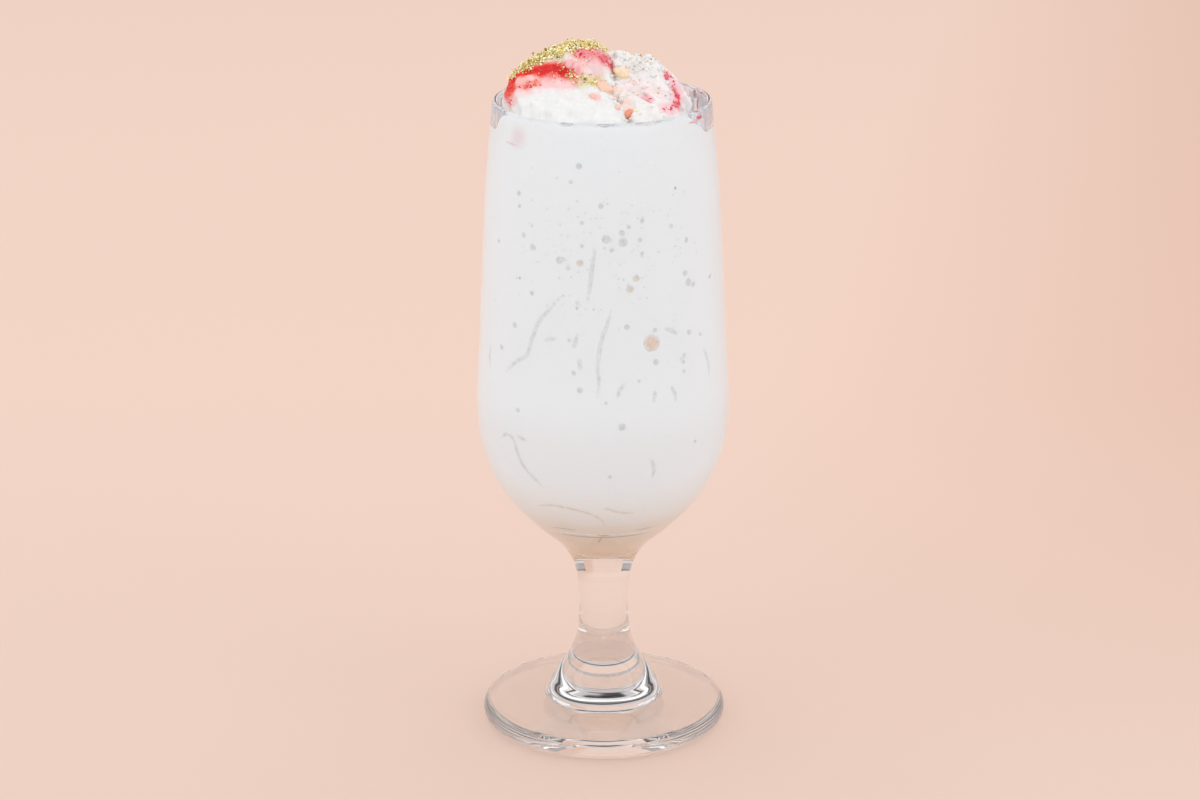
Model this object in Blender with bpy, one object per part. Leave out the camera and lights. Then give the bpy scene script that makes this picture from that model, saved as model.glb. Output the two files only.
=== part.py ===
"""Falooda in a stemmed glass: iced milk to just below the lip, and two scoops of ice cream heaped over it.

Metres, +Z up. The origin is the middle of the glass's foot, on the surface that it stands on.
The left scoop carries rose syrup and crushed pistachio. The right one is rougher and carries bits of fruit.
"""

import math
import random

import bmesh
import bpy
import numpy as np
from mathutils import Matrix, Vector

MM = 0.001

# The glass
GLASS_HEIGHT = 180 * MM
FOOT_RADIUS = 34.4 * MM
FOOT_EDGE_HEIGHT = 5.4 * MM
FOOT_EDGE_ROUNDING = 2.4 * MM
FOOT_RING_INNER_RADIUS = 28.5 * MM
FOOT_DISH_DEPTH = 1.0 * MM
FLARE_RADIUS = 15.8 * MM
FLARE_HEIGHT = 7.0 * MM
FLARE_SPREAD = 11.5 * MM
FLARE_FILLET = 1.6 * MM
FLARE_RINGS = [11.5 * MM, 14.5 * MM, 17.5 * MM, 21 * MM, 26 * MM]
STEM_RADIUS = 6.8 * MM
STEM_WAIST_HEIGHT = 35 * MM
BOWL_RADIUS = 35.0 * MM
BOWL_WIDEST_HEIGHT = 93 * MM
LIP_RADIUS = 29.8 * MM
LIP_THICKNESS = 1.7 * MM
WALL_THICKNESS = 2.4 * MM
BOWL_FLOOR_HEIGHT = 51.5 * MM
TURNED_SEGMENTS = 40
SHARP_ANGLE = 50

# The drink, and the room that neighbouring pieces leave each other
GAP = 0.3 * MM
DRINK_LEVEL = 172.2 * MM

# The scoops. They meet along an upright plane that runs from the front right to the back left.
SEAM_NORMAL = Vector((0.978, 0.211, 0.0)).normalized()
SEAM_DISTANCE = 1.5 * MM
LUMP_BLEND = 1.3 * MM
WALL_BLEND = 0.7 * MM
SEAM_BLEND = 0.8 * MM
DRINK_ROUND_SCOOP = 2.6 * MM
RELIEF_FROM = DRINK_LEVEL + 2 * MM
RELIEF_FADE = 3 * MM
ROOM_ROUND_SCOOP = 1.5 * GAP
RAYS_AROUND = 38
RAY_TILTS = [*range(7, 92, 7), 99, 109, 120, 134, 152]
RAY_REACH = 40 * MM
HALVINGS = 24

# A lump of a scoop is its middle and its three radii. A piece of fruit is its place in plan and its three
# radii. All are in millimetres.
LEFT_SCOOP = {
    "middle": (-10.5, -5.0, 171.5),
    "side": 1,
    "relief": 0.35 * MM,
    "lumps": [
        ((-9.5, -6.0, 171.0), (17.0, 20.5, 15.0)),
        ((-4.8, -1.0, 184.6), (8.6, 8.5, 10.6)),
        ((-12.0, -1.0, 181.8), (8.5, 8.0, 11.4)),
        ((-17.8, -2.0, 178.6), (9.0, 11.0, 10.6)),
        ((1.0, -17.0, 172.0), (10.0, 12.0, 10.5)),
    ],
    "fruit": [
        ((0.0, -9.6), (2.6, 1.5, 1.2)),
        ((-2.6, -13.9), (1.3, 1.0, 0.7)),
        ((-8.8, -7.4), (1.3, 1.1, 1.0)),
    ],
}
RIGHT_SCOOP = {
    "middle": (10.5, -3.0, 171.5),
    "side": -1,
    "relief": 0.6 * MM,
    "lumps": [
        ((10.5, -4.0, 171.0), (13.0, 18.5, 13.5)),
        ((11.0, 0.5, 180.0), (8.0, 9.0, 10.6)),
        ((4.0, 3.0, 181.2), (7.5, 8.0, 10.6)),
        ((16.8, -2.0, 176.4), (6.6, 9.0, 9.4)),
        ((13.0, -16.0, 172.0), (10.5, 10.0, 10.2)),
    ],
    "fruit": [
        ((5.4, -3.2), (1.3, 2.0, 1.1)),
        ((7.2, -20.5), (1.1, 1.5, 1.5)),
        ((9.4, -18.4), (0.9, 0.8, 0.8)),
        ((15.2, -6.7), (0.8, 0.8, 0.6)),
        ((12.0, -13.5), (0.9, 0.9, 0.7)),
        ((17.2, -2.6), (0.9, 1.0, 0.7)),
    ],
}

# Crushed pistachio lies along the left scoop's crest, and round a spot a little lower in front. The places
# are in plan, as (x, y), and the spread is how far crumbs stray from them.
CREST_CRUMBS = 52
CREST_START = (-24 * MM, 0 * MM)
CREST_END = (-2 * MM, 3 * MM)
CREST_SPREAD = 1.8 * MM
PATCH_CRUMBS = 12
PATCH_MIDDLE = (-5.5 * MM, -10.5 * MM)
PATCH_SPREAD = (1.8 * MM, 1.0 * MM)
CRUMB_RADII = (0.6 * MM, 1.0 * MM)
TOPPING_SEED = 7


def clear_scene():
    for thing in list(bpy.data.objects):
        bpy.data.objects.remove(thing)


def material(name, colour, roughness, transmission=0.0):
    made = bpy.data.materials.new(name)
    made.use_nodes = True
    shader = made.node_tree.nodes["Principled BSDF"]
    shader.inputs["Base Color"].default_value = (*colour, 1.0)
    shader.inputs["Roughness"].default_value = roughness
    shader.inputs["Transmission Weight"].default_value = transmission
    return made


def show(bm, name, finish):
    """Makes a smooth object of a bmesh and gives it its finish."""
    bmesh.ops.recalc_face_normals(bm, faces=bm.faces)
    mesh = bpy.data.meshes.new(name)
    bm.to_mesh(mesh)
    bm.free()
    mesh.shade_smooth()
    mesh.set_sharp_from_angle(angle=math.radians(SHARP_ANGLE))
    mesh.materials.append(finish)
    thing = bpy.data.objects.new(name, mesh)
    bpy.context.scene.collection.objects.link(thing)
    return thing


def through(stations):
    """A smooth line through stations of (radius, height), with one more point halfway along each span."""
    points = [np.array(station) for station in stations]
    ends = [2 * points[0] - points[1], *points, 2 * points[-1] - points[-2]]
    line = []
    for before, start, end, after in zip(ends, ends[1:], ends[2:], ends[3:]):
        line += [tuple(start), tuple((9 * (start + end) - before - after) / 16)]
    return line + [tuple(points[-1])]


def arc(centre, radii, start, end, steps):
    """Points of an ellipse's arc, its angles in degrees from the outward radius."""
    turns = np.radians(np.linspace(start, end, steps))
    return [(centre[0] + radii[0] * math.cos(a), centre[1] + radii[1] * math.sin(a)) for a in turns]


def turned(profile, name, finish):
    """Turns a profile of (radius, height) points, whose two ends lie on the axis, once round Z."""
    bm = bmesh.new()
    points = [bm.verts.new((radius, 0, height)) for radius, height in profile]
    edges = [bm.edges.new(pair) for pair in zip(points, points[1:])]
    bmesh.ops.spin(bm, geom=points + edges, cent=(0, 0, 0), axis=(0, 0, 1), angle=2 * math.pi,
                   steps=TURNED_SEGMENTS, use_merge=True)
    bmesh.ops.remove_doubles(bm, verts=bm.verts, dist=0.001 * MM)
    return show(bm, name, finish)


def flare_radius(height):
    """The stem spreads towards the foot as a bell curve."""
    spread = (height - FLARE_HEIGHT) / FLARE_SPREAD
    return STEM_RADIUS + (FLARE_RADIUS - STEM_RADIUS) * math.exp(-spread * spread)


def foot_outline():
    """From the middle of the dished underside, out round the foot's edge and up the flare to the stem."""
    half = FOOT_EDGE_HEIGHT / 2
    dish = [(FOOT_RING_INNER_RADIUS * share, FOOT_DISH_DEPTH * (1 - share**2)) for share in (0, 0.5, 1)]
    edge = arc((FOOT_RADIUS - FOOT_EDGE_ROUNDING, half), (FOOT_EDGE_ROUNDING, half), -90, 90, 7)
    fillet = arc((FLARE_RADIUS + FLARE_FILLET, FLARE_HEIGHT + FLARE_FILLET),
                 (FLARE_FILLET, FLARE_FILLET), 265, 195, 3)
    flare = [(flare_radius(height), height) for height in FLARE_RINGS]
    return dish + edge + fillet + flare


def bowl_outline():
    """The outside, from the stem's waist up the bowl to just under the lip."""
    return through([
        (STEM_RADIUS, STEM_WAIST_HEIGHT),
        (8.0 * MM, 45 * MM),
        (11.8 * MM, 52.3 * MM),
        (19.2 * MM, 59 * MM),
        (27.8 * MM, 68.6 * MM),
        (33.2 * MM, 80 * MM),
        (BOWL_RADIUS, BOWL_WIDEST_HEIGHT),
        (34.2 * MM, 112 * MM),
        (32.0 * MM, 155 * MM),
        (LIP_RADIUS, GLASS_HEIGHT - LIP_THICKNESS / 2),
    ])


def hollow_outline():
    """The inside of the bowl, from the axis up to just under the lip."""
    return through([
        (0, BOWL_FLOOR_HEIGHT),
        (9.0 * MM, 54.2 * MM),
        (18.0 * MM, 62.0 * MM),
        (26.2 * MM, 71.8 * MM),
        (BOWL_RADIUS - WALL_THICKNESS, BOWL_WIDEST_HEIGHT),
        (31.9 * MM, 112 * MM),
        (29.9 * MM, 155 * MM),
        (LIP_RADIUS - LIP_THICKNESS, GLASS_HEIGHT - LIP_THICKNESS / 2),
    ])


def build_glass(finish):
    lip = arc((LIP_RADIUS - LIP_THICKNESS / 2, GLASS_HEIGHT - LIP_THICKNESS / 2),
              (LIP_THICKNESS / 2, LIP_THICKNESS / 2), 0, 180, 5)
    return turned(foot_outline() + bowl_outline()[:-1] + lip + hollow_outline()[-2::-1], "glass", finish)


def wall_radius(height):
    """The hollow's radius at a height."""
    radii, heights = zip(*hollow_outline())
    return np.interp(height, heights, radii)


def drink_outline():
    """The hollow's own line, a gap inside it, cut off at the level."""
    wall = [(radius, height) for radius, height in hollow_outline() if height < DRINK_LEVEL]
    inset = [(0, wall[0][1] + GAP)]
    for before, here, after in zip(wall, wall[1:], wall[2:]):
        along = Vector((after[0] - before[0], after[1] - before[1])).normalized()
        inset.append((here[0] - along.y * GAP, here[1] + along.x * GAP))
    return inset + [(wall_radius(DRINK_LEVEL) - GAP, DRINK_LEVEL), (0, DRINK_LEVEL)]


def rounded_least(first, second, blend):
    """The lesser of two depths, with the crease between them rounded over."""
    return -blend * np.logaddexp(-first / blend, -second / blend)


def rounded_most(first, second, blend):
    return -rounded_least(-first, -second, blend)


def crags(points):
    """Crossed waves some 8 mm long, which fade out where the drink begins."""
    x, y, z = points.T / MM
    waves = np.sin(0.9 * x + 0.8 * z + 0.4) * np.cos(0.75 * y - 0.4 * z)
    waves += 0.5 * np.sin(1.1 * y + 0.6 * x + 1.1) * np.cos(1.1 * z - 0.5 * x)
    return waves * np.clip((points[:, 2] - RELIEF_FROM) / RELIEF_FADE, 0, 1)


def scoop_depth(points, scoop):
    """How far points lie outside a scoop: its lumps run together, cut off by the wall and the seam."""
    depth = np.full(len(points), np.inf)
    for middle, radii in scoop["lumps"]:
        middle, radii = np.array(middle) * MM, np.array(radii) * MM
        reach = np.linalg.norm((points - middle) / radii, axis=1)
        depth = rounded_least(depth, (reach - 1) * radii.min(), LUMP_BLEND)
    depth -= scoop["relief"] * crags(points)
    sunk = np.clip((RELIEF_FROM - points[:, 2]) / (RELIEF_FROM - DRINK_LEVEL), 0, 1) * DRINK_ROUND_SCOOP
    wall = np.hypot(points[:, 0], points[:, 1]) - wall_radius(points[:, 2]) + GAP + WALL_BLEND / 8 + sunk
    seam = scoop["side"] * (points @ np.array(SEAM_NORMAL) - SEAM_DISTANCE) + GAP / 2
    return rounded_most(rounded_most(depth, wall, WALL_BLEND), seam, SEAM_BLEND)


def scoop_points(scoop, clear=0.0):
    """The surface that lies clear of a scoop, in rings from its top down, found along rays by halving."""
    tilt, turn = np.meshgrid(np.radians(RAY_TILTS), np.arange(RAYS_AROUND) * 2 * math.pi / RAYS_AROUND,
                             indexing="ij")
    rings = np.stack([np.sin(tilt) * np.cos(turn), np.sin(tilt) * np.sin(turn), np.cos(tilt)], -1)
    rays = np.vstack([[[0, 0, 1]], rings.reshape(-1, 3), [[0, 0, -1]]])
    middle = np.array(scoop["middle"]) * MM
    near, far = np.zeros(len(rays)), np.full(len(rays), RAY_REACH)
    for _ in range(HALVINGS):
        halfway = (near + far) / 2
        outside = scoop_depth(middle + rays * halfway[:, None], scoop) > clear
        near, far = np.where(outside, near, halfway), np.where(outside, halfway, far)
    return middle + rays * near[:, None]


def scoop_skin(points):
    """Closes the rings of a scoop's surface."""
    bm = bmesh.new()
    verts = [bm.verts.new(point) for point in points]
    rings = [verts[start:start + RAYS_AROUND] for start in range(1, len(verts) - 1, RAYS_AROUND)]
    for turn in range(RAYS_AROUND):
        beside = (turn + 1) % RAYS_AROUND
        bm.faces.new((verts[0], rings[0][turn], rings[0][beside]))
        for upper, lower in zip(rings, rings[1:]):
            bm.faces.new((upper[turn], lower[turn], lower[beside], upper[beside]))
        bm.faces.new((rings[-1][turn], verts[-1], rings[-1][beside]))
    return bm


def build_drink(finish, cutters):
    drink = turned(drink_outline(), "milk_drink", finish)
    for cutter in cutters:
        cutter.hide_render = True
        cutter.display_type = "WIRE"
        cut = drink.modifiers.new(f"Cut round {cutter.name}", "BOOLEAN")
        cut.operation = "DIFFERENCE"
        cut.object = cutter


def chip(point, normal, radii, draw):
    """An angular chip, half sunk, that lies along the surface."""
    bm = bmesh.new()
    lie = normal.to_track_quat("Z", "Y").to_matrix().to_4x4() @ Matrix.Rotation(draw.uniform(0, 6.28), 4, "Z")
    bmesh.ops.create_icosphere(bm, subdivisions=1, radius=1,
                               matrix=Matrix.Translation(point) @ lie @ Matrix.Diagonal((*radii, 1)))
    mesh = bpy.data.meshes.new("chip")
    bm.to_mesh(mesh)
    bm.free()
    return bpy.data.objects.new("chip", mesh)


def chips_on(thing, scoop, places, draw):
    """Chips where a drop from each place in plan, in metres, lands clear of the seam and of the drink."""
    chips = []
    for (x, y), radii in places:
        above = Vector((x, y, GLASS_HEIGHT + RAY_REACH))
        landed, point, normal, _ = thing.ray_cast(above, Vector((0, 0, -1)))
        room = scoop["side"] * (SEAM_DISTANCE - point.dot(SEAM_NORMAL))
        if landed and room > max(radii) and point.z > DRINK_LEVEL + 2 * max(radii):
            chips.append(chip(point, normal, radii, draw))
    return chips


def fuse(thing, chips):
    """Joins chips to what they lie on, as one solid, and removes them."""
    heap = bpy.data.collections.new("chips")
    bpy.context.scene.collection.children.link(heap)
    for each in chips:
        heap.objects.link(each)
    join = thing.modifiers.new("Join chips", "BOOLEAN")
    join.operation = "UNION"
    join.operand_type = "COLLECTION"
    join.collection = heap
    bpy.context.view_layer.update()
    joined = bpy.data.meshes.new_from_object(thing.evaluated_get(bpy.context.evaluated_depsgraph_get()))
    thing.modifiers.clear()
    thing.data = joined
    for each in chips:
        bpy.data.objects.remove(each)
    bpy.data.collections.remove(heap)


def crumb_radii(draw):
    long = draw.uniform(*CRUMB_RADII)
    return (long, long * draw.uniform(0.65, 0.95), long * draw.uniform(0.6, 0.85))


def crumb_places(draw):
    """Crumbs strewn along the crest, from the left edge to the top, and round a spot in front of it."""
    places = []
    for _ in range(CREST_CRUMBS):
        along = draw.uniform(0, 1)
        x = CREST_START[0] + (CREST_END[0] - CREST_START[0]) * along
        y = CREST_START[1] + (CREST_END[1] - CREST_START[1]) * along
        places.append(((x, y + draw.gauss(0, CREST_SPREAD)), crumb_radii(draw)))
    for _ in range(PATCH_CRUMBS):
        x = PATCH_MIDDLE[0] + draw.gauss(0, PATCH_SPREAD[0])
        y = PATCH_MIDDLE[1] + draw.gauss(0, PATCH_SPREAD[1])
        places.append(((x, y), crumb_radii(draw)))
    return places


def fruit_places(scoop):
    return [((x * MM, y * MM), [radius * MM for radius in radii]) for (x, y), radii in scoop["fruit"]]


def build_scoop(name, scoop, finish, crumbs=()):
    thing = show(scoop_skin(scoop_points(scoop)), name, finish)
    bpy.context.view_layer.update()
    fuse(thing, chips_on(thing, scoop, fruit_places(scoop) + list(crumbs), random.Random(TOPPING_SEED)))


def main():
    clear_scene()
    clear_glass = material("clear pressed glass", (0.95, 0.96, 0.96), 0.02, transmission=1.0)
    iced_milk = material("iced milk", (0.84, 0.84, 0.84), 0.25)
    rose = material("vanilla ice cream with rose syrup", (0.86, 0.72, 0.68), 0.45)
    plain = material("vanilla ice cream", (0.87, 0.86, 0.85), 0.5)

    build_glass(clear_glass)
    build_scoop("ice_cream_left", LEFT_SCOOP, rose, crumb_places(random.Random(TOPPING_SEED)))
    build_scoop("ice_cream_right", RIGHT_SCOOP, plain)
    build_drink(iced_milk, [
        show(scoop_skin(scoop_points(LEFT_SCOOP, clear=ROOM_ROUND_SCOOP)), "left scoop room", rose),
        show(scoop_skin(scoop_points(RIGHT_SCOOP, clear=ROOM_ROUND_SCOOP)), "right scoop room", plain),
    ])


main()
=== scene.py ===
"""Dresses the falooda: a footed glass of iced milk, with two scoops of ice cream, rose syrup, crushed
pistachio, bits of fruit, starch noodles and bubbles. Metres, +Z up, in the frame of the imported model.
"""

import math

import bmesh
import bpy
import numpy as np
from bpy.props import FloatProperty, FloatVectorProperty, IntProperty, PointerProperty
from mathutils import Matrix, Vector


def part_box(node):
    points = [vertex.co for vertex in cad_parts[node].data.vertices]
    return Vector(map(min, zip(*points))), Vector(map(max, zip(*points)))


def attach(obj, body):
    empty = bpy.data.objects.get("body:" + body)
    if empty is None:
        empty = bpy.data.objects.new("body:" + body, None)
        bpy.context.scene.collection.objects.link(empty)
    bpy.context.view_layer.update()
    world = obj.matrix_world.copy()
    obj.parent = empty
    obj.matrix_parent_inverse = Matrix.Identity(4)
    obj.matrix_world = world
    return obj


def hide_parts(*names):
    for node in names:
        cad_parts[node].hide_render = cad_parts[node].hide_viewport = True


bl_info = {
    "name": "Falooda in a Footed Glass",
    "version": (1, 0, 0),
    "blender": (4, 5, 0),
    "location": "3D View > Sidebar > Falooda",
    "description": "Builds a tall glass of iced milk falooda with ice cream, syrup, pistachio and fruit",
    "category": "Add Mesh",
}

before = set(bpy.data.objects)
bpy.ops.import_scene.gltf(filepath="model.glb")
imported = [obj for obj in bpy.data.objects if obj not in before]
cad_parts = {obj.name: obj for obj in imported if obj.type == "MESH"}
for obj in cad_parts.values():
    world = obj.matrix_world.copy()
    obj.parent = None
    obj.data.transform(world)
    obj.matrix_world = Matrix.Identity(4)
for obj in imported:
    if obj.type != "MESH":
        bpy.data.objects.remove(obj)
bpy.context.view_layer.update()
MM = 0.001

# The glass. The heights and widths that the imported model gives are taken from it.
GLASS_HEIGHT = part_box("glass")[1].z
BOWL_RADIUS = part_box("glass")[1].x
DRINK_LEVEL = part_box("milk_drink")[1].z
FOOT_RADIUS = 34.4 * MM
FOOT_EDGE_HEIGHT = 5.4 * MM
FOOT_EDGE_ROUNDING = 2.4 * MM
FOOT_RING_INNER_RADIUS = 28.5 * MM
FOOT_DISH_DEPTH = 1.0 * MM
FLARE_RADIUS = 15.8 * MM
FLARE_HEIGHT = 7.0 * MM
FLARE_SPREAD = 11.5 * MM
FLARE_FILLET = 1.6 * MM
FLARE_TOP = 27 * MM
STEM_RADIUS = 6.8 * MM
STEM_WAIST_HEIGHT = 35 * MM
BOWL_WIDEST_HEIGHT = 93 * MM
LIP_RADIUS = 29.8 * MM
LIP_THICKNESS = 1.7 * MM
WALL_THICKNESS = 2.4 * MM
BOWL_FLOOR_HEIGHT = 51.5 * MM
FOOT_WAVE = 9 * MM
GLASS_IOR = 1.52

# The scoops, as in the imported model: a lump is its middle and its three radii, in millimetres
SEAM_NORMAL = np.array([0.978, 0.211, 0.0]) / math.hypot(0.978, 0.211)
SEAM_DISTANCE = 1.5 * MM
LUMP_BLEND = 1.3 * MM
WALL_BLEND = 0.7 * MM
SEAM_BLEND = 0.5 * MM
SEAM_OVERLAP = 0.8 * MM
SCOOP_BEHIND_DRINK = 0.1 * MM
RELIEF_FROM = DRINK_LEVEL + 2 * MM
RELIEF_FADE = 3 * MM
RAY_REACH = 40 * MM
HALVINGS = 20
SCOOP_RINGS = 220
SCOOP_STEPS = 330
INTO_WALL = 0.15 * MM
INTO_SCOOP = 0.4 * MM
# The cream's grain: the share and the size of each kind of lump in it, and how far from an edge it begins
# and is full
GRAIN_LUMPS = [(0.5, 2.6 * MM), (0.32, 1.2 * MM), (0.18, 0.6 * MM)]
GRAIN_FROM = 0.32 * MM
GRAIN_FADE = 0.8 * MM
LEFT_SCOOP = {
    "middle": (-10.5, -5.0, 171.5),
    "side": 1,
    "relief": 0.35 * MM,
    "grain": 0.16 * MM,
    "lumps": [
        ((-9.5, -6.0, 171.0), (17.0, 20.5, 15.0)),
        ((-4.8, -1.0, 184.6), (8.6, 8.5, 10.6)),
        ((-12.0, -1.0, 181.8), (8.5, 8.0, 11.4)),
        ((-17.8, -2.0, 178.6), (9.0, 11.0, 10.6)),
        ((1.0, -17.0, 172.0), (10.0, 12.0, 10.5)),
        ((1.5, -3.0, 180.0), (6.5, 8.5, 7.4)),
    ],
}
RIGHT_SCOOP = {
    "middle": (10.5, -3.0, 171.5),
    "side": -1,
    "relief": 0.6 * MM,
    "grain": 0.36 * MM,
    "lumps": [
        ((10.5, -4.0, 171.0), (13.0, 18.5, 13.5)),
        ((11.0, 0.5, 180.0), (8.0, 9.0, 10.6)),
        ((4.0, 3.0, 181.2), (7.5, 8.0, 10.6)),
        ((16.8, -2.0, 176.4), (6.6, 9.0, 9.4)),
        ((13.0, -16.0, 172.0), (10.5, 10.0, 10.2)),
        ((4.5, -3.0, 180.0), (6.5, 8.5, 7.0)),
    ],
}

# Flakes of cream over a scoop: how many, how near to the seam they lie thickest, half the width of the
# largest, the height they begin at, and how thickly they lie away from the seam
FLAKES = 420
FLAKE_REACH = 2.6 * MM
FLAKE_RADIUS = 0.95 * MM
FLAKES_ABOVE = DRINK_LEVEL + 3 * MM
FLAKES_ELSEWHERE = {"left": 0.0, "right": 0.12}

# What is painted into a scoop: a path over it in millimetres, a width, a colour, how strong and how patchy
# it is. Each ends with what lies at the back.
STAIN_FRAY = 0.5 * MM
STAIN_FRAY_SIZE = 1.6 * MM
STAIN_PATCH_SIZE = 0.9 * MM
LEFT_STAINS = [
    ([(-24, -3, 186.8), (-18, -3.9, 190.3), (-11.3, -1.8, 193.2), (-4.6, -1.8, 194.5)], 3.9, "#e2c878",
     0.9, 0.3),
    ([(-7, -9.6, 188.2), (-4.5, -9.9, 187.1), (-0.6, -8.1, 187)], 2.8, "#efe0b0", 0.8, 0.5),
    ([(-21, -9, 185.2), (-13.9, -9.5, 186.5), (-9, -10.2, 187.2)], 4.6, "#f9c9cb", 0.95, 0.25),
    ([(-25.4, -4, 184), (-24.2, -9, 181.5)], 3.4, "#f5a9a8", 0.9, 0.4),
    ([(-25.6, -3.4, 184.6), (-19.6, -5.2, 187.7), (-13.1, -7.6, 189.7), (-7.7, -8.9, 189.7)], 4.2, "#f28d80",
     0.95, 0.2),
    ([(-25.6, -3.2, 184.7), (-19.6, -5, 187.9), (-13.1, -7.4, 189.9), (-7.2, -8.8, 189.8)], 3.0, "#e4261a",
     1.0, 0.03),
    ([(-25.4, -4.7, 183.9), (-24.4, -6.6, 183.1)], 4.0, "#e63c26", 1.0, 0.1),
    ([(-23.2, -8, 184), (-17.9, -10.1, 186.1)], 2.2, "#f07c60", 0.95, 0.4),
    ([(-5.5, -5, 193.3), (-1.6, -5, 192.4), (2.2, -2.8, 190.4)], 4.8, "#f19a9c", 0.95, 0.25),
    ([(-4.2, -4.4, 193.6), (-0.6, -4.2, 191.9), (2.2, -3, 189.8)], 2.6, "#e04f62", 0.9, 0.5),
    ([(-6, -8.2, 190.4), (-1.5, -8, 189.2)], 3.4, "#f6cdd2", 0.85, 0.4),
    ([(-2.4, -13.9, 183.7), (-1.8, -14, 183.4)], 2.2, "#f2bfb8", 0.9, 0.3),
    ([(-23.3, 2.6, 185.3), (-19.7, 5.6, 186.5), (-14.5, 6.6, 186.2)], 4.2, "#f6b9b9", 0.9, 0.35),
    ([(-21.5, 4.2, 186), (-19.7, 5.6, 186.5), (-16, 6.3, 186.4)], 2.2, "#e65a50", 0.95, 0.3),
    ([(-11.5, 6.9, 186.8), (-7, 6.9, 188)], 2.8, "#efe0b0", 0.8, 0.5),
    ([(-4.1, 6.9, 188.8), (-0.8, 6.2, 188.3)], 3.2, "#f4c4ca", 0.85, 0.4),
]
RIGHT_STAINS = [
    ([(5.1, -2.6, 187.9), (2.4, -6, 185)], 3.2, "#f6dcc0", 0.8, 0.4),
    ([(6, -14, 182.5), (7.4, -20, 179.6)], 3.0, "#f7d6c8", 0.8, 0.5),
    ([(8, -9, 185), (14, -10, 184.2)], 5.0, "#f6dfdf", 0.8, 0.5),
    ([(11.4, -13.2, 183.5), (12.6, -13.8, 183)], 2.4, "#f0b3bb", 0.9, 0.4),
    ([(17, -2, 186.8), (18.4, -2.8, 185.6)], 2.2, "#e87d88", 0.9, 0.5),
    ([(19.6, -4, 184.6), (20.6, -9, 181.6), (19.4, -14, 180.8), (16.6, -18.4, 181)], 3.4, "#f3bcc6",
     0.9, 0.4),
    ([(19.8, -6, 183.6), (20.4, -9.5, 181.4), (19, -14.6, 180.8)], 1.6, "#d8304c", 0.85, 0.75),
    ([(8, 8.9, 187.9), (11.9, 8.4, 186.3), (15.8, 6.7, 183.6)], 4.4, "#f6dfdf", 0.8, 0.5),
    ([(20.8, 3.5, 182.9), (20, 6.5, 180.2)], 3.0, "#f0b3bb", 0.9, 0.4),
    ([(10, 10.8, 181.2), (6.6, 10.9, 178.9)], 2.8, "#f6dcc0", 0.8, 0.4),
]

# Wet syrup that lies on the right scoop: a path in millimetres, its half width and its thickness. Lumps
# fray its width, each kind with its share and its size.
SYRUP_RUNS = [
    ([(19.6, -6.2, 183.4), (20.5, -8.8, 181.6), (20, -11.4, 181)], 0.42 * MM, 0.2 * MM),
    ([(18.2, -16.2, 181), (17.2, -18.4, 181.1)], 0.45 * MM, 0.22 * MM),
]
SYRUP_LUMPS = [(0.45, 1.3 * MM), (0.3, 0.6 * MM)]

# Flecks of syrup: a scoop, a path in millimetres, how far they stray, how many and the radius of the largest
SYRUP_FLECKS = [
    ("left", [(-25.4, -3.6, 184.8), (-19.6, -5.2, 187.8), (-13.1, -7.5, 189.8), (-7.7, -8.8, 189.8)],
     1.9, 260, 0.34),
    ("left", [(-25.4, -5, 184), (-22.5, -8.6, 184), (-17.9, -10.1, 186)], 2.0, 80, 0.36),
    ("left", [(-25.2, -6, 183), (-24, -10, 181)], 2.2, 26, 0.3),
    ("left", [(-17, -8, 188), (-10, -9.5, 188)], 2.6, 40, 0.24),
    ("left", [(-6, -4.5, 193.4), (-2, -4.4, 192.4), (2, -3, 190)], 2.4, 90, 0.34),
    ("left", [(-8, -3.5, 193.8), (-3, -2, 194.5)], 2.0, 40, 0.26),
    ("right", [(18, -3.5, 185), (20.4, -8.4, 181.8), (19.6, -14, 180.8), (16.4, -18.6, 181)], 2.2, 90, 0.36),
    ("right", [(17, -2, 186.8), (18.6, -2.8, 185.6)], 1.6, 22, 0.34),
    ("right", [(11.4, -13.2, 183.5), (12.6, -13.8, 183)], 1.8, 16, 0.3),
    ("left", [(-23, 3, 185.6), (-19.7, 5.6, 186.5), (-14.5, 6.6, 186.2)], 2.4, 90, 0.34),
    ("left", [(-4.1, 6.9, 188.8), (-0.8, 6.2, 188.3)], 2.2, 26, 0.3),
    ("right", [(20.8, 3.5, 182.9), (20, 6.5, 180.2)], 2.2, 44, 0.34),
]

# Crushed pistachio along the left scoop's crest and down its front: paths in millimetres, how far it strays,
# and how thickly it lies on the front and on the rest of the top against the crest's 1
CREST = [(-23.4, -1, 188.4), (-18, -2, 191.2), (-11.3, -1, 193.8), (-4.6, -1.2, 195), (-1, 0, 194.6)]
CREST_REACH = 4.8 * MM
FRONT = [(-8, -9.4, 188.6), (-4.5, -9.9, 187.1), (-1.5, -9.2, 187.1)]
FRONT_REACH = 2.6 * MM
FRONT_CRUMBS = 0.36
TOP_CRUMBS = 0.012
CRUMBS_ABOVE = 187 * MM
CRUMB_HEAP = 0.5 * MM
CRUMB_STRAY = 0.15 * MM
# Of the crumbs' four colours, how many have each
CRUMB_SHARES = [0.38, 0.43, 0.14, 0.05]

# Specks on the right scoop: their colours and how many have each, where they lie and their least and
# largest radius
SPECK_COLOURS = {"#e6d5a4": 0.32, "#dcc08e": 0.22, "#efe2bd": 0.3, "#a08360": 0.06, "#e6a39a": 0.1}
SPECKS_ABOVE = 180 * MM
SPECKS_ACROSS = 9 * MM
SPECKS_SPREAD = 7 * MM
SPECKS_FRONT = 2 * MM
SPECK_RADII = (0.12, 0.34)

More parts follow.
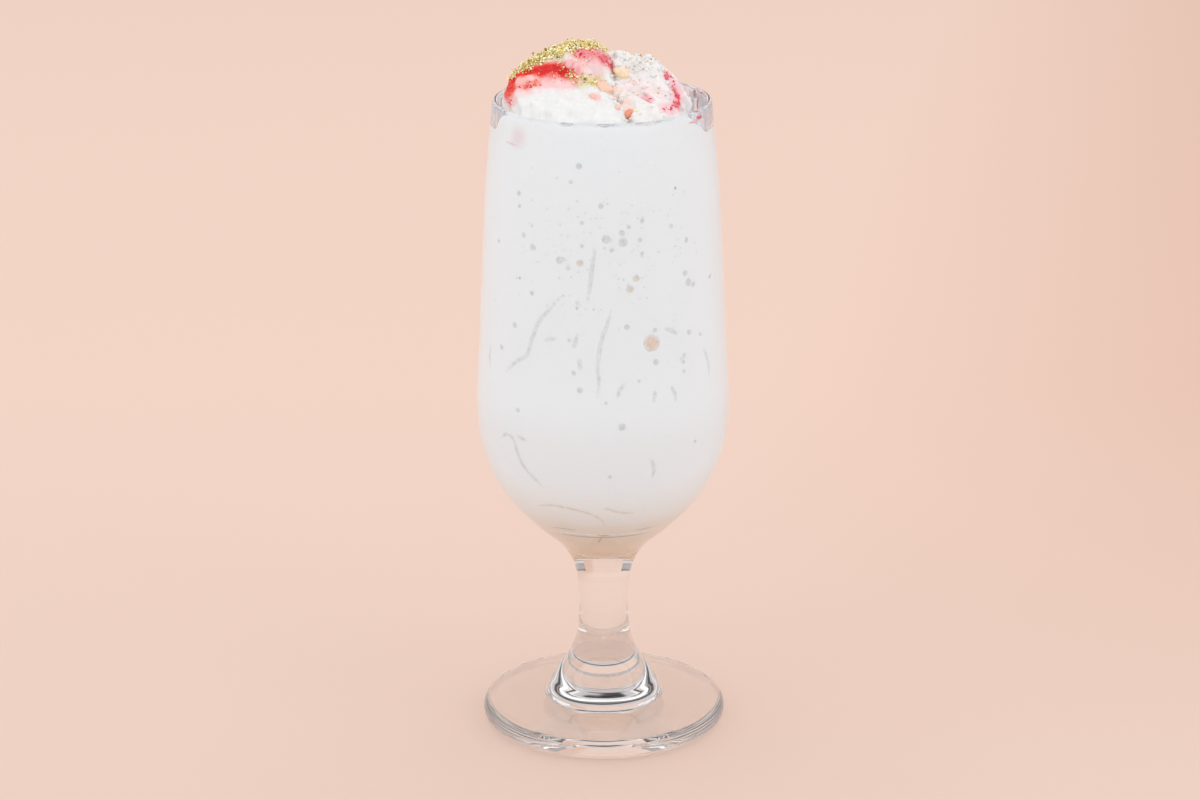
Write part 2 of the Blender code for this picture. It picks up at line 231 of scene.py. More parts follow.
# Bits of candied fruit: the pixel of the photograph at which each is seen, three radii in millimetres, a
# colour. Lumps make them ragged, each kind with its share and its size.
FRUIT_LUMPS = [(0.4, 1.0 * MM), (0.22, 0.45 * MM)]
FRUIT_BITS = [
    ((605, 88), (2.9, 1.6, 1.0), "#f6cbb6"),
    ((616, 94), (2.2, 1.5, 0.9), "#f8d8c8"),
    ((569, 64), (1.2, 1.1, 1.0), "#f6b7bb"),
    ((593, 97), (1.2, 1.0, 0.6), "#f3beb8"),
    ((621, 73), (1.2, 2.2, 0.9), "#f5dab6"),
    ((628, 115), (1.3, 1.9, 1.1), "#ee9a7c"),
    ((627, 117), (0.6, 0.9, 0.9), "#dc5a34"),
    ((635, 111), (0.8, 0.7, 0.6), "#f2e0b6"),
    ((618, 107), (0.9, 1.2, 0.7), "#f4c8b8"),
    ((646, 99), (1.0, 0.9, 0.6), "#f0b6bc"),
    ((666, 77), (1.0, 0.7, 0.6), "#e06a78"),
]

# A drop of syrup that has spread in the milk just inside the wall
PINK_PLACE = (-21.6 * MM, -18.4 * MM, 174 * MM)
PINK_COLOUR = "#ecc6cc"

# Smears and drops on the wall: the turn from the front in degrees, the height in millimetres, the half
# width and half height in millimetres and the colour
WALL_SMEARS = [
    (116, 178.4, 0.9, 1.3, "#e58fa0"),
    (112, 177.2, 0.5, 0.8, "#dc5f78"),
    (113, 175.2, 0.5, 1.9, "#e0708a"),
    (110, 174.0, 0.8, 0.6, "#e3889a"),
    (62, 177.9, 1.5, 0.5, "#e06a86"),
    (57, 177.3, 2.0, 0.4, "#eebccb"),
    (-54, 171.8, 2.0, 0.28, "#f4dde4"),
]

# The milk that clings to the front of the wall, between two turns from the front in degrees, and the film
# round it
CLING_START = -68
CLING_END = 60
CLING_TOP = GLASS_HEIGHT - 0.9 * MM
CLING_AT_BACK = 0.9 * MM
CLING_FOOT = 1.2 * MM
CLING_THICKNESS = 0.45 * MM
# Its ragged edge: lumps, each kind with its share and its size against the radius, how many degrees they
# push its two sides, and over how many the sides rise
CLING_LUMPS = [(0.6, 0.16), (0.4, 0.06)]
CLING_STRAY = 5
CLING_RISE = 2.5
FILM_TOP = GLASS_HEIGHT - 1.1 * MM
FILM_THICKNESS = 0.12 * MM
FILM_INTO_WALL = 0.04 * MM
FILM_WAVE = 0.25 * MM
DRINK_STEPS = 300
RIBBON_ROWS = 70
RIBBON_COLUMNS = 18
LATTICE = np.random.default_rng(5).uniform(-1, 1, (64, 64, 64))

# The floor lies a little lower than the foot, so that no two faces share a plane. Each sweep is a curved
# piece of backdrop: how far off its foot is, and the turns in degrees that it reaches between.
FLOOR_BELOW = 0.25 * MM
FLOOR_RADII = (0.001, 3.2)
SWEEPS = {"rear sweep": (1.4, 62, 118), "front sweep": (3.2, 165, 375)}
SWEEP_BEND = 0.5
SWEEP_HEIGHT = 1.25
SWEEP_STEPS = 97
# What the paper's colour is multiplied by far back on the right: a painted shade
PAINTED_CORNER_SHADE = (0.895, 0.815, 0.775)
SOFTBOXES = {
    "left softbox": ((-1.8, -1.0, 0.9), 1.6),
    "right softbox": ((1.8, -1.0, 0.9), 1.6),
    "overhead softbox": ((0.0, 0.2, 1.9), 1.8),
}
LIGHTS_AIM = (0, 0, 0.1)
BOUNCES_IN_GLASS = 12
# The room that the glass shows: how bright it is by height, from straight down at 0 to straight up at 1,
# its tint, and how far its bars wave
ROOM_BARS = [
    (0.0, 0.7), (0.495, 0.7), (0.502, 0.14), (0.512, 0.14), (0.522, 0.38), (0.56, 0.42), (0.6, 0.36),
    (0.625, 0.36), (0.637, 0.72), (0.712, 0.68), (0.722, 0.1), (0.735, 0.1), (0.745, 0.98), (0.772, 0.98),
    (0.787, 0.64), (0.832, 0.6), (0.848, 0.05), (0.874, 0.05), (0.885, 0.5), (0.898, 0.04), (0.908, 0.04),
    (0.92, 0.8), (0.948, 0.85), (0.957, 0.25), (0.967, 0.25), (0.978, 0.95), (1.0, 0.95),
]
ROOM_TINT = np.array([1, 0.95, 0.96])
ROOM_WAVE = 0.06

# A flat lens at the wall: ring by ring, its share of the full radius, its side and how strong its colour is
PATCH_SHARE = np.array([0.3, 0.55, 0.75, 0.9, 1.0, 0.6])
PATCH_SIDE = np.array([1, 0.98, 0.9, 0.7, 0, -1])
PATCH_FADE = np.array([1, 1, 0.85, 0.35, 0, 0])
PATCH_CORNERS = 20
BUBBLE_PROUD = 0.03 * MM
NOODLE_PROUD = 0.05 * MM
SMEAR_PROUD = 0.12 * MM
MARCH_REACH = 90 * MM
MARCH_STEPS = 1800
INTO_GLASS = 0.3 * MM

# The photograph's camera, fitted to the glass's outline: its place, its focal length and shift in pixels of
# an image 1200 wide and 800 high, how far it looks down, and how far the picture leans
IMAGE = (1200, 800)
EYE = np.array([0, -0.8837, 0.3881])
FOCAL = 3347.7
PITCH = 0.3211
ROLL = 0.003
SHIFT = 3.02
SENSOR = 36

# Bubbles against the wall, read from the photograph: across and down in its pixels, then the radius in
# millimetres
CLEAR_BUBBLES = [
    (579, 166, 0.9), (571, 182, 0.6), (519, 193, 0.8), (520, 206, 0.6), (524, 235, 0.8), (533, 247, 1.0),
    (560, 260, 1.1), (568, 268, 0.7), (582, 246, 0.6), (582, 223, 0.6), (606, 239, 1.2), (623, 242, 1.3),
    (622, 233, 0.9), (629, 227, 0.6), (642, 221, 0.7), (640, 240, 0.7), (612, 250, 0.7), (642, 253, 0.6),
    (671, 226, 0.7), (686, 240, 0.8), (685, 273, 0.9), (688, 282, 1.1), (693, 284, 0.8), (710, 275, 0.6),
    (532, 293, 0.7), (577, 308, 0.5), (515, 325, 0.8), (627, 327, 0.8), (656, 362, 0.9), (684, 355, 0.6),
    (683, 362, 0.6), (684, 371, 0.6), (574, 373, 0.7), (580, 390, 0.9), (622, 427, 1.1), (518, 410, 0.7),
    (610, 477, 0.6), (695, 441, 0.6), (499, 241, 0.6), (601, 206, 0.8), (606, 403, 0.5), (655, 330, 0.7),
    (689, 332, 0.8), (700, 334, 0.6), (502, 347, 0.8), (639, 381, 0.5), (569, 340, 0.5),
]
BEIGE_BUBBLES = [(580, 263, 1.0), (636, 278, 1.0), (630, 289, 1.1)]
DARK_BUBBLES = [(675, 188, 0.45), (520, 278, 0.4), (709, 277, 0.4)]
LARGE_BUBBLE = [(651.5, 343, 2.3)]
# Fine bubbles are strewn round a pixel of the photograph, no further than a box of its pixels
FINE_BUBBLES = 150
FINE_MIDDLE = (605, 250)
FINE_SPREAD = (52, 36)
FINE_BOX = ((496, 160), (714, 400))
FINE_RADII = (0.18, 0.42)

# Noodles that press against the wall: stations along each, in the photograph's pixels
NOODLES = [
    [(595, 246), (593, 262), (590, 285), (587, 303)],
    [(611, 310), (607, 325), (601, 342), (598, 366), (599, 384), (597, 398)],
    [(561, 296), (549, 310), (539, 322), (532, 340), (527, 355), (516, 362), (506, 372)],
    [(578, 334), (573, 349)],
    [(579, 358), (581, 371)],
    [(500, 438), (507, 434), (514, 440), (519, 456), (527, 470), (545, 488)],
    [(517, 435), (527, 441)],
    [(650, 457), (654, 468), (652, 481)],
    [(626, 382), (620, 390), (617, 398)],
    [(655, 390), (654, 403)],
    [(671, 386), (675, 394), (675, 402)],
    [(544, 340), (556, 338)],
    [(664, 327), (678, 334)],
    [(576, 300), (580, 308)],
    [(679, 361), (687, 353)],
    [(703, 347), (708, 362), (709, 376)],
    [(491, 343), (490, 360), (491, 372)],
]
DEEP_NOODLES = [
    [(538, 505), (558, 506), (584, 512), (600, 519), (605, 526)],
    [(604, 508), (618, 512), (634, 513)],
]
# Where the drink meets the glass's solid foot: a white painted highlight line and grey painted shade lines,
# which
# # stand for the light that the thick glass bends there, and a golden bit. Each is a path in the photograph's
# # pixels, a half width in millimetres and a colour
GLINT_AND_SHADE_LINES_WITH_GOLD_BIT = [
    ([(548, 530), (570, 533), (603, 535), (635, 533), (661, 527)], 0.26, "#ffffff"),
    ([(556, 533), (575, 536), (600, 537.5), (628, 536), (650, 532)], 0.2, "#b3a69c"),
    ([(552, 527), (566, 529), (578, 530.5)], 0.16, "#c3b9b2"),
    ([(632, 530.5), (645, 528.5), (656, 525.5)], 0.16, "#c3b9b2"),
    ([(596, 534.5), (602, 535.5), (610, 535)], 0.42, "#d8b878"),
    ([(603, 536), (600, 540), (598, 544)], 0.3, "#dcc096"),
]
NOODLE_ROWS = 60
NOODLE_COLUMNS = 12


def linear(colour):
    """A colour given as sRGB hex, in linear light: a straight line up to 0.04045 and a power of 2.4 above
    it."""
    channels = np.array([int(colour[place:place + 2], 16) for place in (1, 3, 5)]) / 255
    return tuple(np.where(channels <= 0.04045, channels / 12.92, ((channels + 0.055) / 1.055) ** 2.4))


def colour_property(name, description, default):
    return FloatVectorProperty(name=name, description=description, subtype="COLOR", size=3, min=0, max=1,
                               default=linear(default))


def length_property(name, description, default):
    return FloatProperty(name=name, description=description, subtype="DISTANCE", unit="LENGTH", min=0,
                         default=default)


class GlassSettings(bpy.types.PropertyGroup):
    segments: IntProperty(name="Segments", description="Steps round the glass", default=176, min=24)
    waviness: length_property("Waviness", "How far the pressed foot strays from true", 0.07 * MM)
    tint: colour_property("Tint", "What the clear glass lets through", "#fdfefe")


class DrinkSettings(bpy.types.PropertyGroup):
    milk: colour_property("Milk", "The opaque body of the drink", "#f6fbff")
    # Painted light: the beige at the bottom of the drink stands for the warm floor and backdrop shining
    # through it, and begins below this height
    painted_warm_light: colour_property("Settled Milk", "The thinner, sweeter milk at the bottom", "#efd3b7")
    warm_light_height: length_property("Settled Height", "Where the drink begins to turn beige", 84 * MM)
    # Painted shade and light in the bubbles: grey for the shade in an air pocket, darker grey for the small
    # ones, and beige or warm for the backdrop that shines through
    bubble: colour_property("Bubbles", "Air pressed against the wall", "#e0e6ea")
    beige_bubble: colour_property("Beige Bubbles", "Bubbles that the light shines through", "#e6e3d9")
    dark_bubble: colour_property("Dark Bubbles", "Small bubbles that shade themselves", "#c6c6c8")
    large_bubble: colour_property("Large Bubble", "The one large warm bubble", "#edd9cc")
    noodle: colour_property("Noodles", "Starch noodles seen through milk", "#e9eef2")
    deep_noodle: colour_property("Deep Noodles", "Noodles in the settled milk", "#f1e6db")
    noodle_width: length_property("Noodle Width", "How wide a noodle lies against the wall", 1.15 * MM)


class CreamSettings(bpy.types.PropertyGroup):
    white: colour_property("Cream", "Vanilla ice cream", "#e9e9e8")
    warm_white: colour_property("Stained Cream", "Vanilla ice cream that has taken up some syrup", "#ece9e8")
    syrup: colour_property("Syrup", "Rose syrup where it lies thick", "#d8202c")


class ToppingSettings(bpy.types.PropertyGroup):
    crumbs: IntProperty(name="Crumbs", description="Crumbs of pistachio", default=2900, min=0)
    crumb_radius: length_property("Crumb Radius", "Half the length of a large crumb", 0.46 * MM)
    kernel: colour_property("Kernel", "Crushed kernel", "#f1d98e")
    pale: colour_property("Pale Kernel", "Freshly broken kernel", "#fcf4cc")
    green: colour_property("Green Kernel", "The greener outside of a kernel", "#c3bd62")
    skin: colour_property("Skin", "Bits of the nut's brown skin", "#9c7a4c")
    specks: IntProperty(name="Specks", description="Fine beige specks on the right scoop", default=90, min=0)


class StageSettings(bpy.types.PropertyGroup):
    floor: colour_property("Floor", "The table near the glass", "#dec4b7")
    backdrop: colour_property("Backdrop", "The sweep far behind it", "#e4c8ba")
    key: FloatProperty(name="Key Light", description="Power of a softbox", subtype="POWER", default=5, min=0)
    fill: FloatProperty(name="Fill", description="Strength of the room's own light", default=1.0, min=0)


class FaloodaSettings(bpy.types.PropertyGroup):
    glass: PointerProperty(type=GlassSettings, name="Glass")
    drink: PointerProperty(type=DrinkSettings, name="Drink")
    cream: PointerProperty(type=CreamSettings, name="Ice Cream")
    topping: PointerProperty(type=ToppingSettings, name="Toppings")
    stage: PointerProperty(type=StageSettings, name="Stage")


def new_mesh(name, points, faces, paints=None):
    """Puts points, and faces given as arrays of corner numbers, into a smooth mesh, with a colour a point."""
    mesh = bpy.data.meshes.new(name)
    corners = [face for kind in faces for face in kind.tolist()]
    mesh.from_pydata(points.reshape(-1, 3).tolist(), [], corners)
    mesh.shade_smooth()
    if paints is not None:
        paint = np.ones((len(mesh.vertices), 4), np.float32)
        paint[:, :3] = np.vstack(paints)
        mesh.attributes.new("paint", "FLOAT_COLOR", "POINT").data.foreach_set("color", paint.ravel())
    return mesh


def grid_faces(rows, columns, row_steps, column_steps):
    """The faces of a grid of points. Where there are as many steps as rows or columns, the last joins the
    first."""
    row, column = np.meshgrid(np.arange(row_steps), np.arange(column_steps), indexing="ij")
    above, beside = (row + 1) % rows * columns, (column + 1) % columns
    row = row * columns
    return np.stack([row + column, row + beside, above + beside, above + column], -1).reshape(-1, 4)


def closed_skin(rings, start, end):
    """Points and faces of a closed surface: rings joined row to row, each closed on itself, and a pole at
    each end.

    Seen from outside, the rings run anticlockwise and each next one lies above the last.
    """
    rows, columns = rings.shape[:2]
    here = np.arange(columns)
    beside = (here + 1) % columns
    last, pole = (rows - 1) * columns, np.full(columns, rows * columns)
    fans = [np.stack([pole, beside, here], -1), np.stack([last + here, last + beside, pole + 1], -1)]
    points = np.vstack([rings.reshape(-1, 3), [start], [end]])
    return points, [grid_faces(rows, columns, rows - 1, columns), *fans]


def tube_skin(rings):
    """Closes a tube's rings with a pole at the middle of each end."""
    return closed_skin(rings, rings[0].mean(0), rings[-1].mean(0))


def piece(name, skins, finish, slot, *nodes, paints=None):
    """Runs skins together into one piece that rides on the only body, takes a finish and stands for CAD
    nodes.
    The slot is not used. Paints are the colours of each skin's points."""
    points, faces, count = [], [], 0
    for place, kinds in skins:
        points.append(place)
        faces += [kind + count for kind in kinds]
        count += len(place)
    made = bpy.data.objects.new(name, new_mesh(name, np.vstack(points), faces, paints))
    made.data.materials.append(finish)
    bpy.context.scene.collection.objects.link(made)
    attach(made, "root")
    if nodes:
        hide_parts(*nodes)
    return made


def add_node(tree, kind, values=None, links=None, **properties):
    """Adds a shader node with its own properties, the values of its inputs, and the links that feed them.

    An input goes by its name or its number. Of a Map Range, 0 is the value, 1 and 2 are the range that it
    reads, and 3 and 4 the range that it gives. Of a Mix of colours, 0 is the share, and 6 and 7 the colours.
    """
    node = tree.nodes.new("ShaderNode" + kind)
    for name, value in properties.items():
        setattr(node, name, value)
    for socket, value in (values or {}).items():
        node.inputs[socket].default_value = value
    feed(node, links or {})
    return node


def feed(node, links):
    """Links inputs of a node, each to a socket or to another node's first output."""
    for socket, source in links.items():
        node.id_data.links.new(getattr(source, "outputs", [source])[0], node.inputs[socket])


def set_ramp(node, stops):
    """Gives a Color Ramp its stops, each a place from 0 to 1 and a linear colour."""
    while len(node.color_ramp.elements) < len(stops):
        node.color_ramp.elements.new(0.5)
    for element, (place, colour) in zip(node.color_ramp.elements, stops):
        element.position = place
        element.color = (*colour, 1)


def start_material(name, values):
    """A material whose Principled shader has these values on its own sockets."""
    made = bpy.data.materials.new(name)
    made.use_nodes = True
    shader = made.node_tree.nodes["Principled BSDF"]
    for socket, value in values.items():
        shader.inputs[socket].default_value = value
    return made, made.node_tree, shader


def unit(vectors):
    """The same directions with a length of 1."""
    return vectors / np.linalg.norm(vectors, axis=-1, keepdims=True)


def eased(share):
    """From 0 to 1 with a slow start and a slow end: three squares less two cubes."""
    return share * share * (3 - 2 * share)


def turns_round(count):
    """Even turns all the way round, in radians."""
    return np.arange(count) * 2 * math.pi / count


def at_radius(radius, turn, height):
    """Points at a radius from the axis, a turn about it and a height."""
    radius, turn, height = np.broadcast_arrays(radius, turn, height)
    return np.stack([radius * np.cos(turn), radius * np.sin(turn), height], -1)


def noise(points, size, seed=0):
    """Smooth noise from -1 to 1: random heights at the corners of cubes of that size, eased from corner to
    corner."""
    place = np.asarray(points) / size + 11.3 * seed
    low = np.floor(place).astype(int)
    ease = eased(place - low)
    total = 0
    for corner in np.ndindex(2, 2, 2):
        weight = np.prod(np.where(np.array(corner) == 1, ease, 1 - ease), axis=-1)
        x, y, z = np.moveaxis((low + corner) % 64, -1, 0)
        total = total + weight * LATTICE[x, y, z]
    return total


def lumpy(points, lumps, seed):
    """Smooth noise of several sizes together. Each kind of lump has a share and a size."""
    return sum(share * noise(points, size, seed + place) for place, (share, size) in enumerate(lumps))


def smooth_line(stations, steps):
    """A Catmull-Rom curve through stations, with a number of steps to a span: each span is a cubic whose
    slope at a station is half the way from the station before it to the one after it."""
    points = np.array(stations, float)
    points = np.vstack([2 * points[0] - points[1], points, 2 * points[-1] - points[-2]])
    share = np.arange(steps)[:, None] / steps
    spans = []
    for before, start, end, after in zip(points, points[1:], points[2:], points[3:]):
        spans.append(start + share / 2 * (end - before)
                     + share**2 / 2 * (2 * before - 5 * start + 4 * end - after)
                     + share**3 / 2 * (3 * start - before - 3 * end + after))
    return np.vstack([*spans, points[-2]])


def evenly(line, count):
    """A number of points an even distance apart on the same line."""
    along = np.concatenate([[0], np.cumsum(np.linalg.norm(np.diff(line, axis=0), axis=1))])
    wanted = np.linspace(0, along[-1], count)
    return np.stack([np.interp(wanted, along, part) for part in line.T], -1)


def arc(centre, radii, start, end, steps):
    """Points of an ellipse's arc, its angles in degrees from the outward radius."""
    turns = np.radians(np.linspace(start, end, steps))
    return np.stack([centre[0] + radii[0] * np.cos(turns), centre[1] + radii[1] * np.sin(turns)], -1)


def foot_outline():
    """From near the middle of the dished underside, out round the foot's edge and up the flare to the stem.
    The dish is a parabola and the flare a bell curve."""
    share = np.linspace(0.02, 1, 14)
    dish = np.stack([FOOT_RING_INNER_RADIUS * share, FOOT_DISH_DEPTH * (1 - share**2)], -1)
    half = FOOT_EDGE_HEIGHT / 2
    edge = arc((FOOT_RADIUS - FOOT_EDGE_ROUNDING, half), (FOOT_EDGE_ROUNDING, half), -90, 90, 25)
    fillet = arc((FLARE_RADIUS + FLARE_FILLET, FLARE_HEIGHT + FLARE_FILLET), (FLARE_FILLET, FLARE_FILLET),
                 265, 195, 10)
    share = np.linspace(0, 1, 20)[:, None]
    top = edge[-1] * (1 - share) + fillet[0] * share
    height = np.linspace(fillet[-1, 1] + 1.2 * MM, FLARE_TOP, 16)
    spread = (height - FLARE_HEIGHT) / FLARE_SPREAD
    flare = np.stack([STEM_RADIUS + (FLARE_RADIUS - STEM_RADIUS) * np.exp(-spread * spread), height], -1)
    return np.vstack([dish, edge, top[1:-1], fillet, flare])


def bowl_outline(steps):
    """The outside, from the stem's waist up the bowl to just under the lip."""
    return smooth_line(np.array([
        (STEM_RADIUS, STEM_WAIST_HEIGHT),
        (8.0 * MM, 45 * MM),
        (11.8 * MM, 52.3 * MM),
        (19.2 * MM, 59 * MM),
        (27.8 * MM, 68.6 * MM),
        (33.2 * MM, 80 * MM),
        (BOWL_RADIUS, BOWL_WIDEST_HEIGHT),
        (34.2 * MM, 112 * MM),
        (32.0 * MM, 155 * MM),
        (LIP_RADIUS, GLASS_HEIGHT - LIP_THICKNESS / 2),
    ]), steps)


def hollow_outline(steps):
    """The inside of the bowl, from the axis up to just under the lip."""
    return smooth_line(np.array([
        (0, BOWL_FLOOR_HEIGHT),
        (9.0 * MM, 54.2 * MM),
        (18.0 * MM, 62.0 * MM),
        (26.2 * MM, 71.8 * MM),
        (BOWL_RADIUS - WALL_THICKNESS, BOWL_WIDEST_HEIGHT),
        (31.9 * MM, 112 * MM),
        (29.9 * MM, 155 * MM),
        (LIP_RADIUS - LIP_THICKNESS, GLASS_HEIGHT - LIP_THICKNESS / 2),
    ]), steps)


OUTER_WALL = bowl_outline(16)
INNER_WALL = hollow_outline(16)


def wall_radius(height):
    """The hollow's radius at a height."""
    return np.interp(height, INNER_WALL[:, 1], INNER_WALL[:, 0])


def turned(profile, segments):
    """Rings of a profile of (radius, height) turned round Z."""
    return at_radius(profile[:, 0, None], turns_round(segments), profile[:, 1, None])


def rounded_least(first, second, blend):
    """The lesser of two depths, with the crease between them rounded over: less the logarithm of the sum of
    the exponentials of both, each turned negative."""
    return -blend * np.logaddexp(-first / blend, -second / blend)


def crags(points):
    """Crossed waves some 8 mm long, which fade out where the drink begins."""
    x, y, z = np.moveaxis(points / MM, -1, 0)
    waves = np.sin(0.9 * x + 0.8 * z + 0.4) * np.cos(0.75 * y - 0.4 * z)
    waves += 0.5 * np.sin(1.1 * y + 0.6 * x + 1.1) * np.cos(1.1 * z - 0.5 * x)
    return waves * np.clip((points[..., 2] - RELIEF_FROM) / RELIEF_FADE, 0, 1)


def room_at_wall(points):
    """How far points lie outside the hollow, whose wall the scoops reach just into, a little less than the
    drink."""
    reach = wall_radius(points[..., 2]) + INTO_WALL - SCOOP_BEHIND_DRINK
    return np.hypot(points[..., 0], points[..., 1]) - reach


def room_at_seam(points, scoop):
    """How far points lie past the upright plane where the scoops meet, which each crosses a little."""
    return scoop["side"] * (points @ SEAM_NORMAL - SEAM_DISTANCE) - SEAM_OVERLAP


def scoop_depth(points, scoop):
    """How far points lie outside a scoop: its lumps run together, cut off by the wall and the seam."""
    depth = np.full(points.shape[:-1], np.inf)
    for middle, radii in scoop["lumps"]:
        middle, radii = np.array(middle) * MM, np.array(radii) * MM
        reach = np.linalg.norm((points - middle) / radii, axis=-1)
        depth = rounded_least(depth, (reach - 1) * radii.min(), LUMP_BLEND)
    depth = depth - scoop["relief"] * crags(points)
    depth = -rounded_least(-depth, -room_at_wall(points), WALL_BLEND)
    return -rounded_least(-depth, -room_at_seam(points, scoop), SEAM_BLEND)


def along_rays(start, rays, depth, reach):
    """Where rays from inside a body leave it, found by halving the stretch that holds its surface."""
    near, far = np.zeros(rays.shape[:-1]), np.full(rays.shape[:-1], float(reach))
    for _ in range(HALVINGS):
        halfway = (near + far) / 2
        outside = depth(start + rays * halfway[..., None]) > 0
        near, far = np.where(outside, near, halfway), np.where(outside, halfway, far)
    return start + rays * near[..., None]


def on_scoop(directions, scoop):
    """The points of a scoop's surface that lie in these directions from its middle."""
    middle = np.array(scoop["middle"]) * MM
    return along_rays(middle, unit(directions), lambda points: scoop_depth(points, scoop), RAY_REACH)


def grain(points, scoop):
    """The cream's own relief: three sizes of smooth noise, which fade out at the wall and the seam."""
    rough = lumpy(points, GRAIN_LUMPS, 1)
    free = np.minimum(-room_at_wall(points), -room_at_seam(points, scoop))
    return 2 * scoop["grain"] * rough * np.clip((free - GRAIN_FROM) / GRAIN_FADE, 0, 1)


def nearness(points, path, width):
    """1 on a path of straight legs, given in millimetres, easing to 0 at a width from it."""
    path = np.array(path) * MM
    least = np.full(points.shape[:-1], np.inf)
    for start, end in zip(path, path[1:]):
        leg = end - start
        along = np.clip((points - start) @ leg / (leg @ leg), 0, 1)[..., None]
        least = np.minimum(least, np.linalg.norm(points - start - along * leg, axis=-1))
    return eased(np.clip(1 - least / width, 0, 1))


def stained(points, ground, stains):
    """The cream's colour at each point: each stain is mixed in by its nearness, broken up by noise."""
    paint = np.broadcast_to(np.array(ground), points.shape).copy()
    for number, (path, width, colour, strength, patchiness) in enumerate(stains):
        strays = [noise(points, STAIN_FRAY_SIZE, 20 + number + axis) for axis in (0, 9, 17)]
        mask = nearness(points + STAIN_FRAY * np.stack(strays, -1), path, width * MM)
        patch = np.clip(0.5 + 0.9 * noise(points, STAIN_PATCH_SIZE, 40 + number), 0, 1)
        mask = strength * np.clip(mask * 1.8, 0, 1) * (1 - patchiness * (1 - patch))
        paint += (np.array(linear(colour)) - paint) * mask[..., None]
    return paint


def build_scoop(name, scoop, ground, stains, finish, node):
    """A scoop's surface, found along rays from its middle that fan out from its foot to its top."""
    tilt = np.linspace(math.pi, 0, SCOOP_RINGS + 2)[1:-1, None]
    fan = at_radius(np.sin(tilt), turns_round(SCOOP_STEPS), np.cos(tilt))
    rings = on_scoop(fan, scoop)
    rings = rings + fan * grain(rings, scoop)[..., None]
    points, faces = closed_skin(rings, *on_scoop(np.array([[0, 0, -1.0], [0, 0, 1.0]]), scoop))
    piece(name, [(points, faces)], finish, "ice_cream", node, paints=[stained(points, ground, stains)])


def ribbon_on(scoop, path, half_width, thickness, seed):
    """Rings of a thin ribbon that lies on a scoop: an oval section is carried along a smooth path, and each
    of its points is laid on the surface, then raised or sunk. Noise frays the width, and both ends taper as
    a sine."""
    line = evenly(smooth_line(np.array(path) * MM, 24), RIBBON_ROWS)
    middle = np.array(scoop["middle"]) * MM
    outward = unit(line - middle)
    across = unit(np.cross(np.gradient(line, axis=0), outward))
    taper = np.sin(np.linspace(0.06, math.pi - 0.06, RIBBON_ROWS)) ** 0.5
    turn = turns_round(RIBBON_COLUMNS)
    aside = (half_width * taper * (1 + lumpy(line, SYRUP_LUMPS, seed)))[:, None] * np.cos(turn)
    laid = line[:, None] + across[:, None] * aside[..., None]
    ground = on_scoop(laid - middle, scoop)
    ground = ground + outward[:, None] * grain(ground, scoop)[..., None]
    lift = (thickness * taper)[:, None] * np.sin(turn)
    return ground + outward[:, None] * lift[..., None]


def camera_rays(pixels):
    """Directions from the camera through pixels of the photograph, each (across, down): the offset from the
    middle of the image over the focal length, turned by the roll and tipped down by the pitch."""
    across, up = pixels[:, 0] - IMAGE[0] / 2 - SHIFT, IMAGE[1] / 2 - pixels[:, 1]
    right = (across * math.cos(ROLL) + up * math.sin(ROLL)) / FOCAL
    upward = (up * math.cos(ROLL) - across * math.sin(ROLL)) / FOCAL
    forward = np.array([0, math.cos(PITCH), -math.sin(PITCH)])
    rays = forward + right[:, None] * [1, 0, 0] + upward[:, None] * [0, math.sin(PITCH), math.cos(PITCH)]
    return unit(rays)


def first_inside(start, rays, wall):
    """The first of many steps along each ray that lies inside a wall given as an outline of (radius,
    height)."""
    points = start[:, None] + rays[:, None] * np.linspace(0, MARCH_REACH, MARCH_STEPS)[:, None]
    gap = np.hypot(points[..., 0], points[..., 1]) - np.interp(points[..., 2], wall[:, 1], wall[:, 0])
    return points[np.arange(len(points)), (gap < 0).argmax(1)]


def seen_on_wall(pixels):
    """The turn and the height on the bowl's inner wall of what is seen through the glass at pixels of the
    photograph. A ray that meets the outer wall bends there by Snell's law and runs on to the inner wall."""
    rays = camera_rays(np.array(pixels, float)[:, :2])
    outer = first_inside(EYE - rays * (EYE[1] + BOWL_RADIUS * 1.2), rays, OUTER_WALL)
    slope = np.gradient(OUTER_WALL[:, 0], OUTER_WALL[:, 1])
    lean = np.interp(outer[:, 2], OUTER_WALL[:, 1], slope)
    normal = unit(np.stack([outer[:, 0], outer[:, 1], -lean * np.hypot(outer[:, 0], outer[:, 1])], -1))
    cosine = -np.sum(rays * normal, axis=1, keepdims=True)
    ratio = 1 / GLASS_IOR
    bent = ratio * rays + (ratio * cosine - np.sqrt(1 - ratio**2 * (1 - cosine**2))) * normal
    inner = first_inside(outer + bent * INTO_GLASS, bent, INNER_WALL)
    return np.arctan2(inner[:, 1], inner[:, 0]), inner[:, 2]


def all_round(pixels):
    """Turns and heights of what is seen on the wall, and the same again at the back, as in a mirror."""
    turn, height = seen_on_wall(pixels)
    return [(turn, height), (-turn, height)]


def climb(turn):
    """How far up the wall the milk clings at each turn: to the lip at the front and a little elsewhere,
    with a ragged edge. The change is a logistic curve."""
    front = np.degrees(np.angle(np.exp(1j * (turn + math.pi / 2))))
    ragged = lumpy(at_radius(1, turn, 0), CLING_LUMPS, 5)
    middle, reach = (CLING_END + CLING_START) / 2, (CLING_END - CLING_START) / 2
    inside = 1 / (1 + np.exp((np.abs(front - middle) - reach + CLING_STRAY * ragged) / CLING_RISE))
    return CLING_AT_BACK * (1 + 0.7 * ragged) + (CLING_TOP - DRINK_LEVEL - CLING_AT_BACK) * inside


def at_wall(turn, height, lift):
    """Points at a turn and a height on the drink's side, raised from it by a lift."""
    return at_radius(wall_radius(height) + INTO_WALL + lift, turn, height)


def faded(colour, ground, strength):
    """A colour a point: the ground's, with another mixed in by its strength there."""
    return np.array(ground) + (np.array(colour) - np.array(ground)) * strength[:, None]


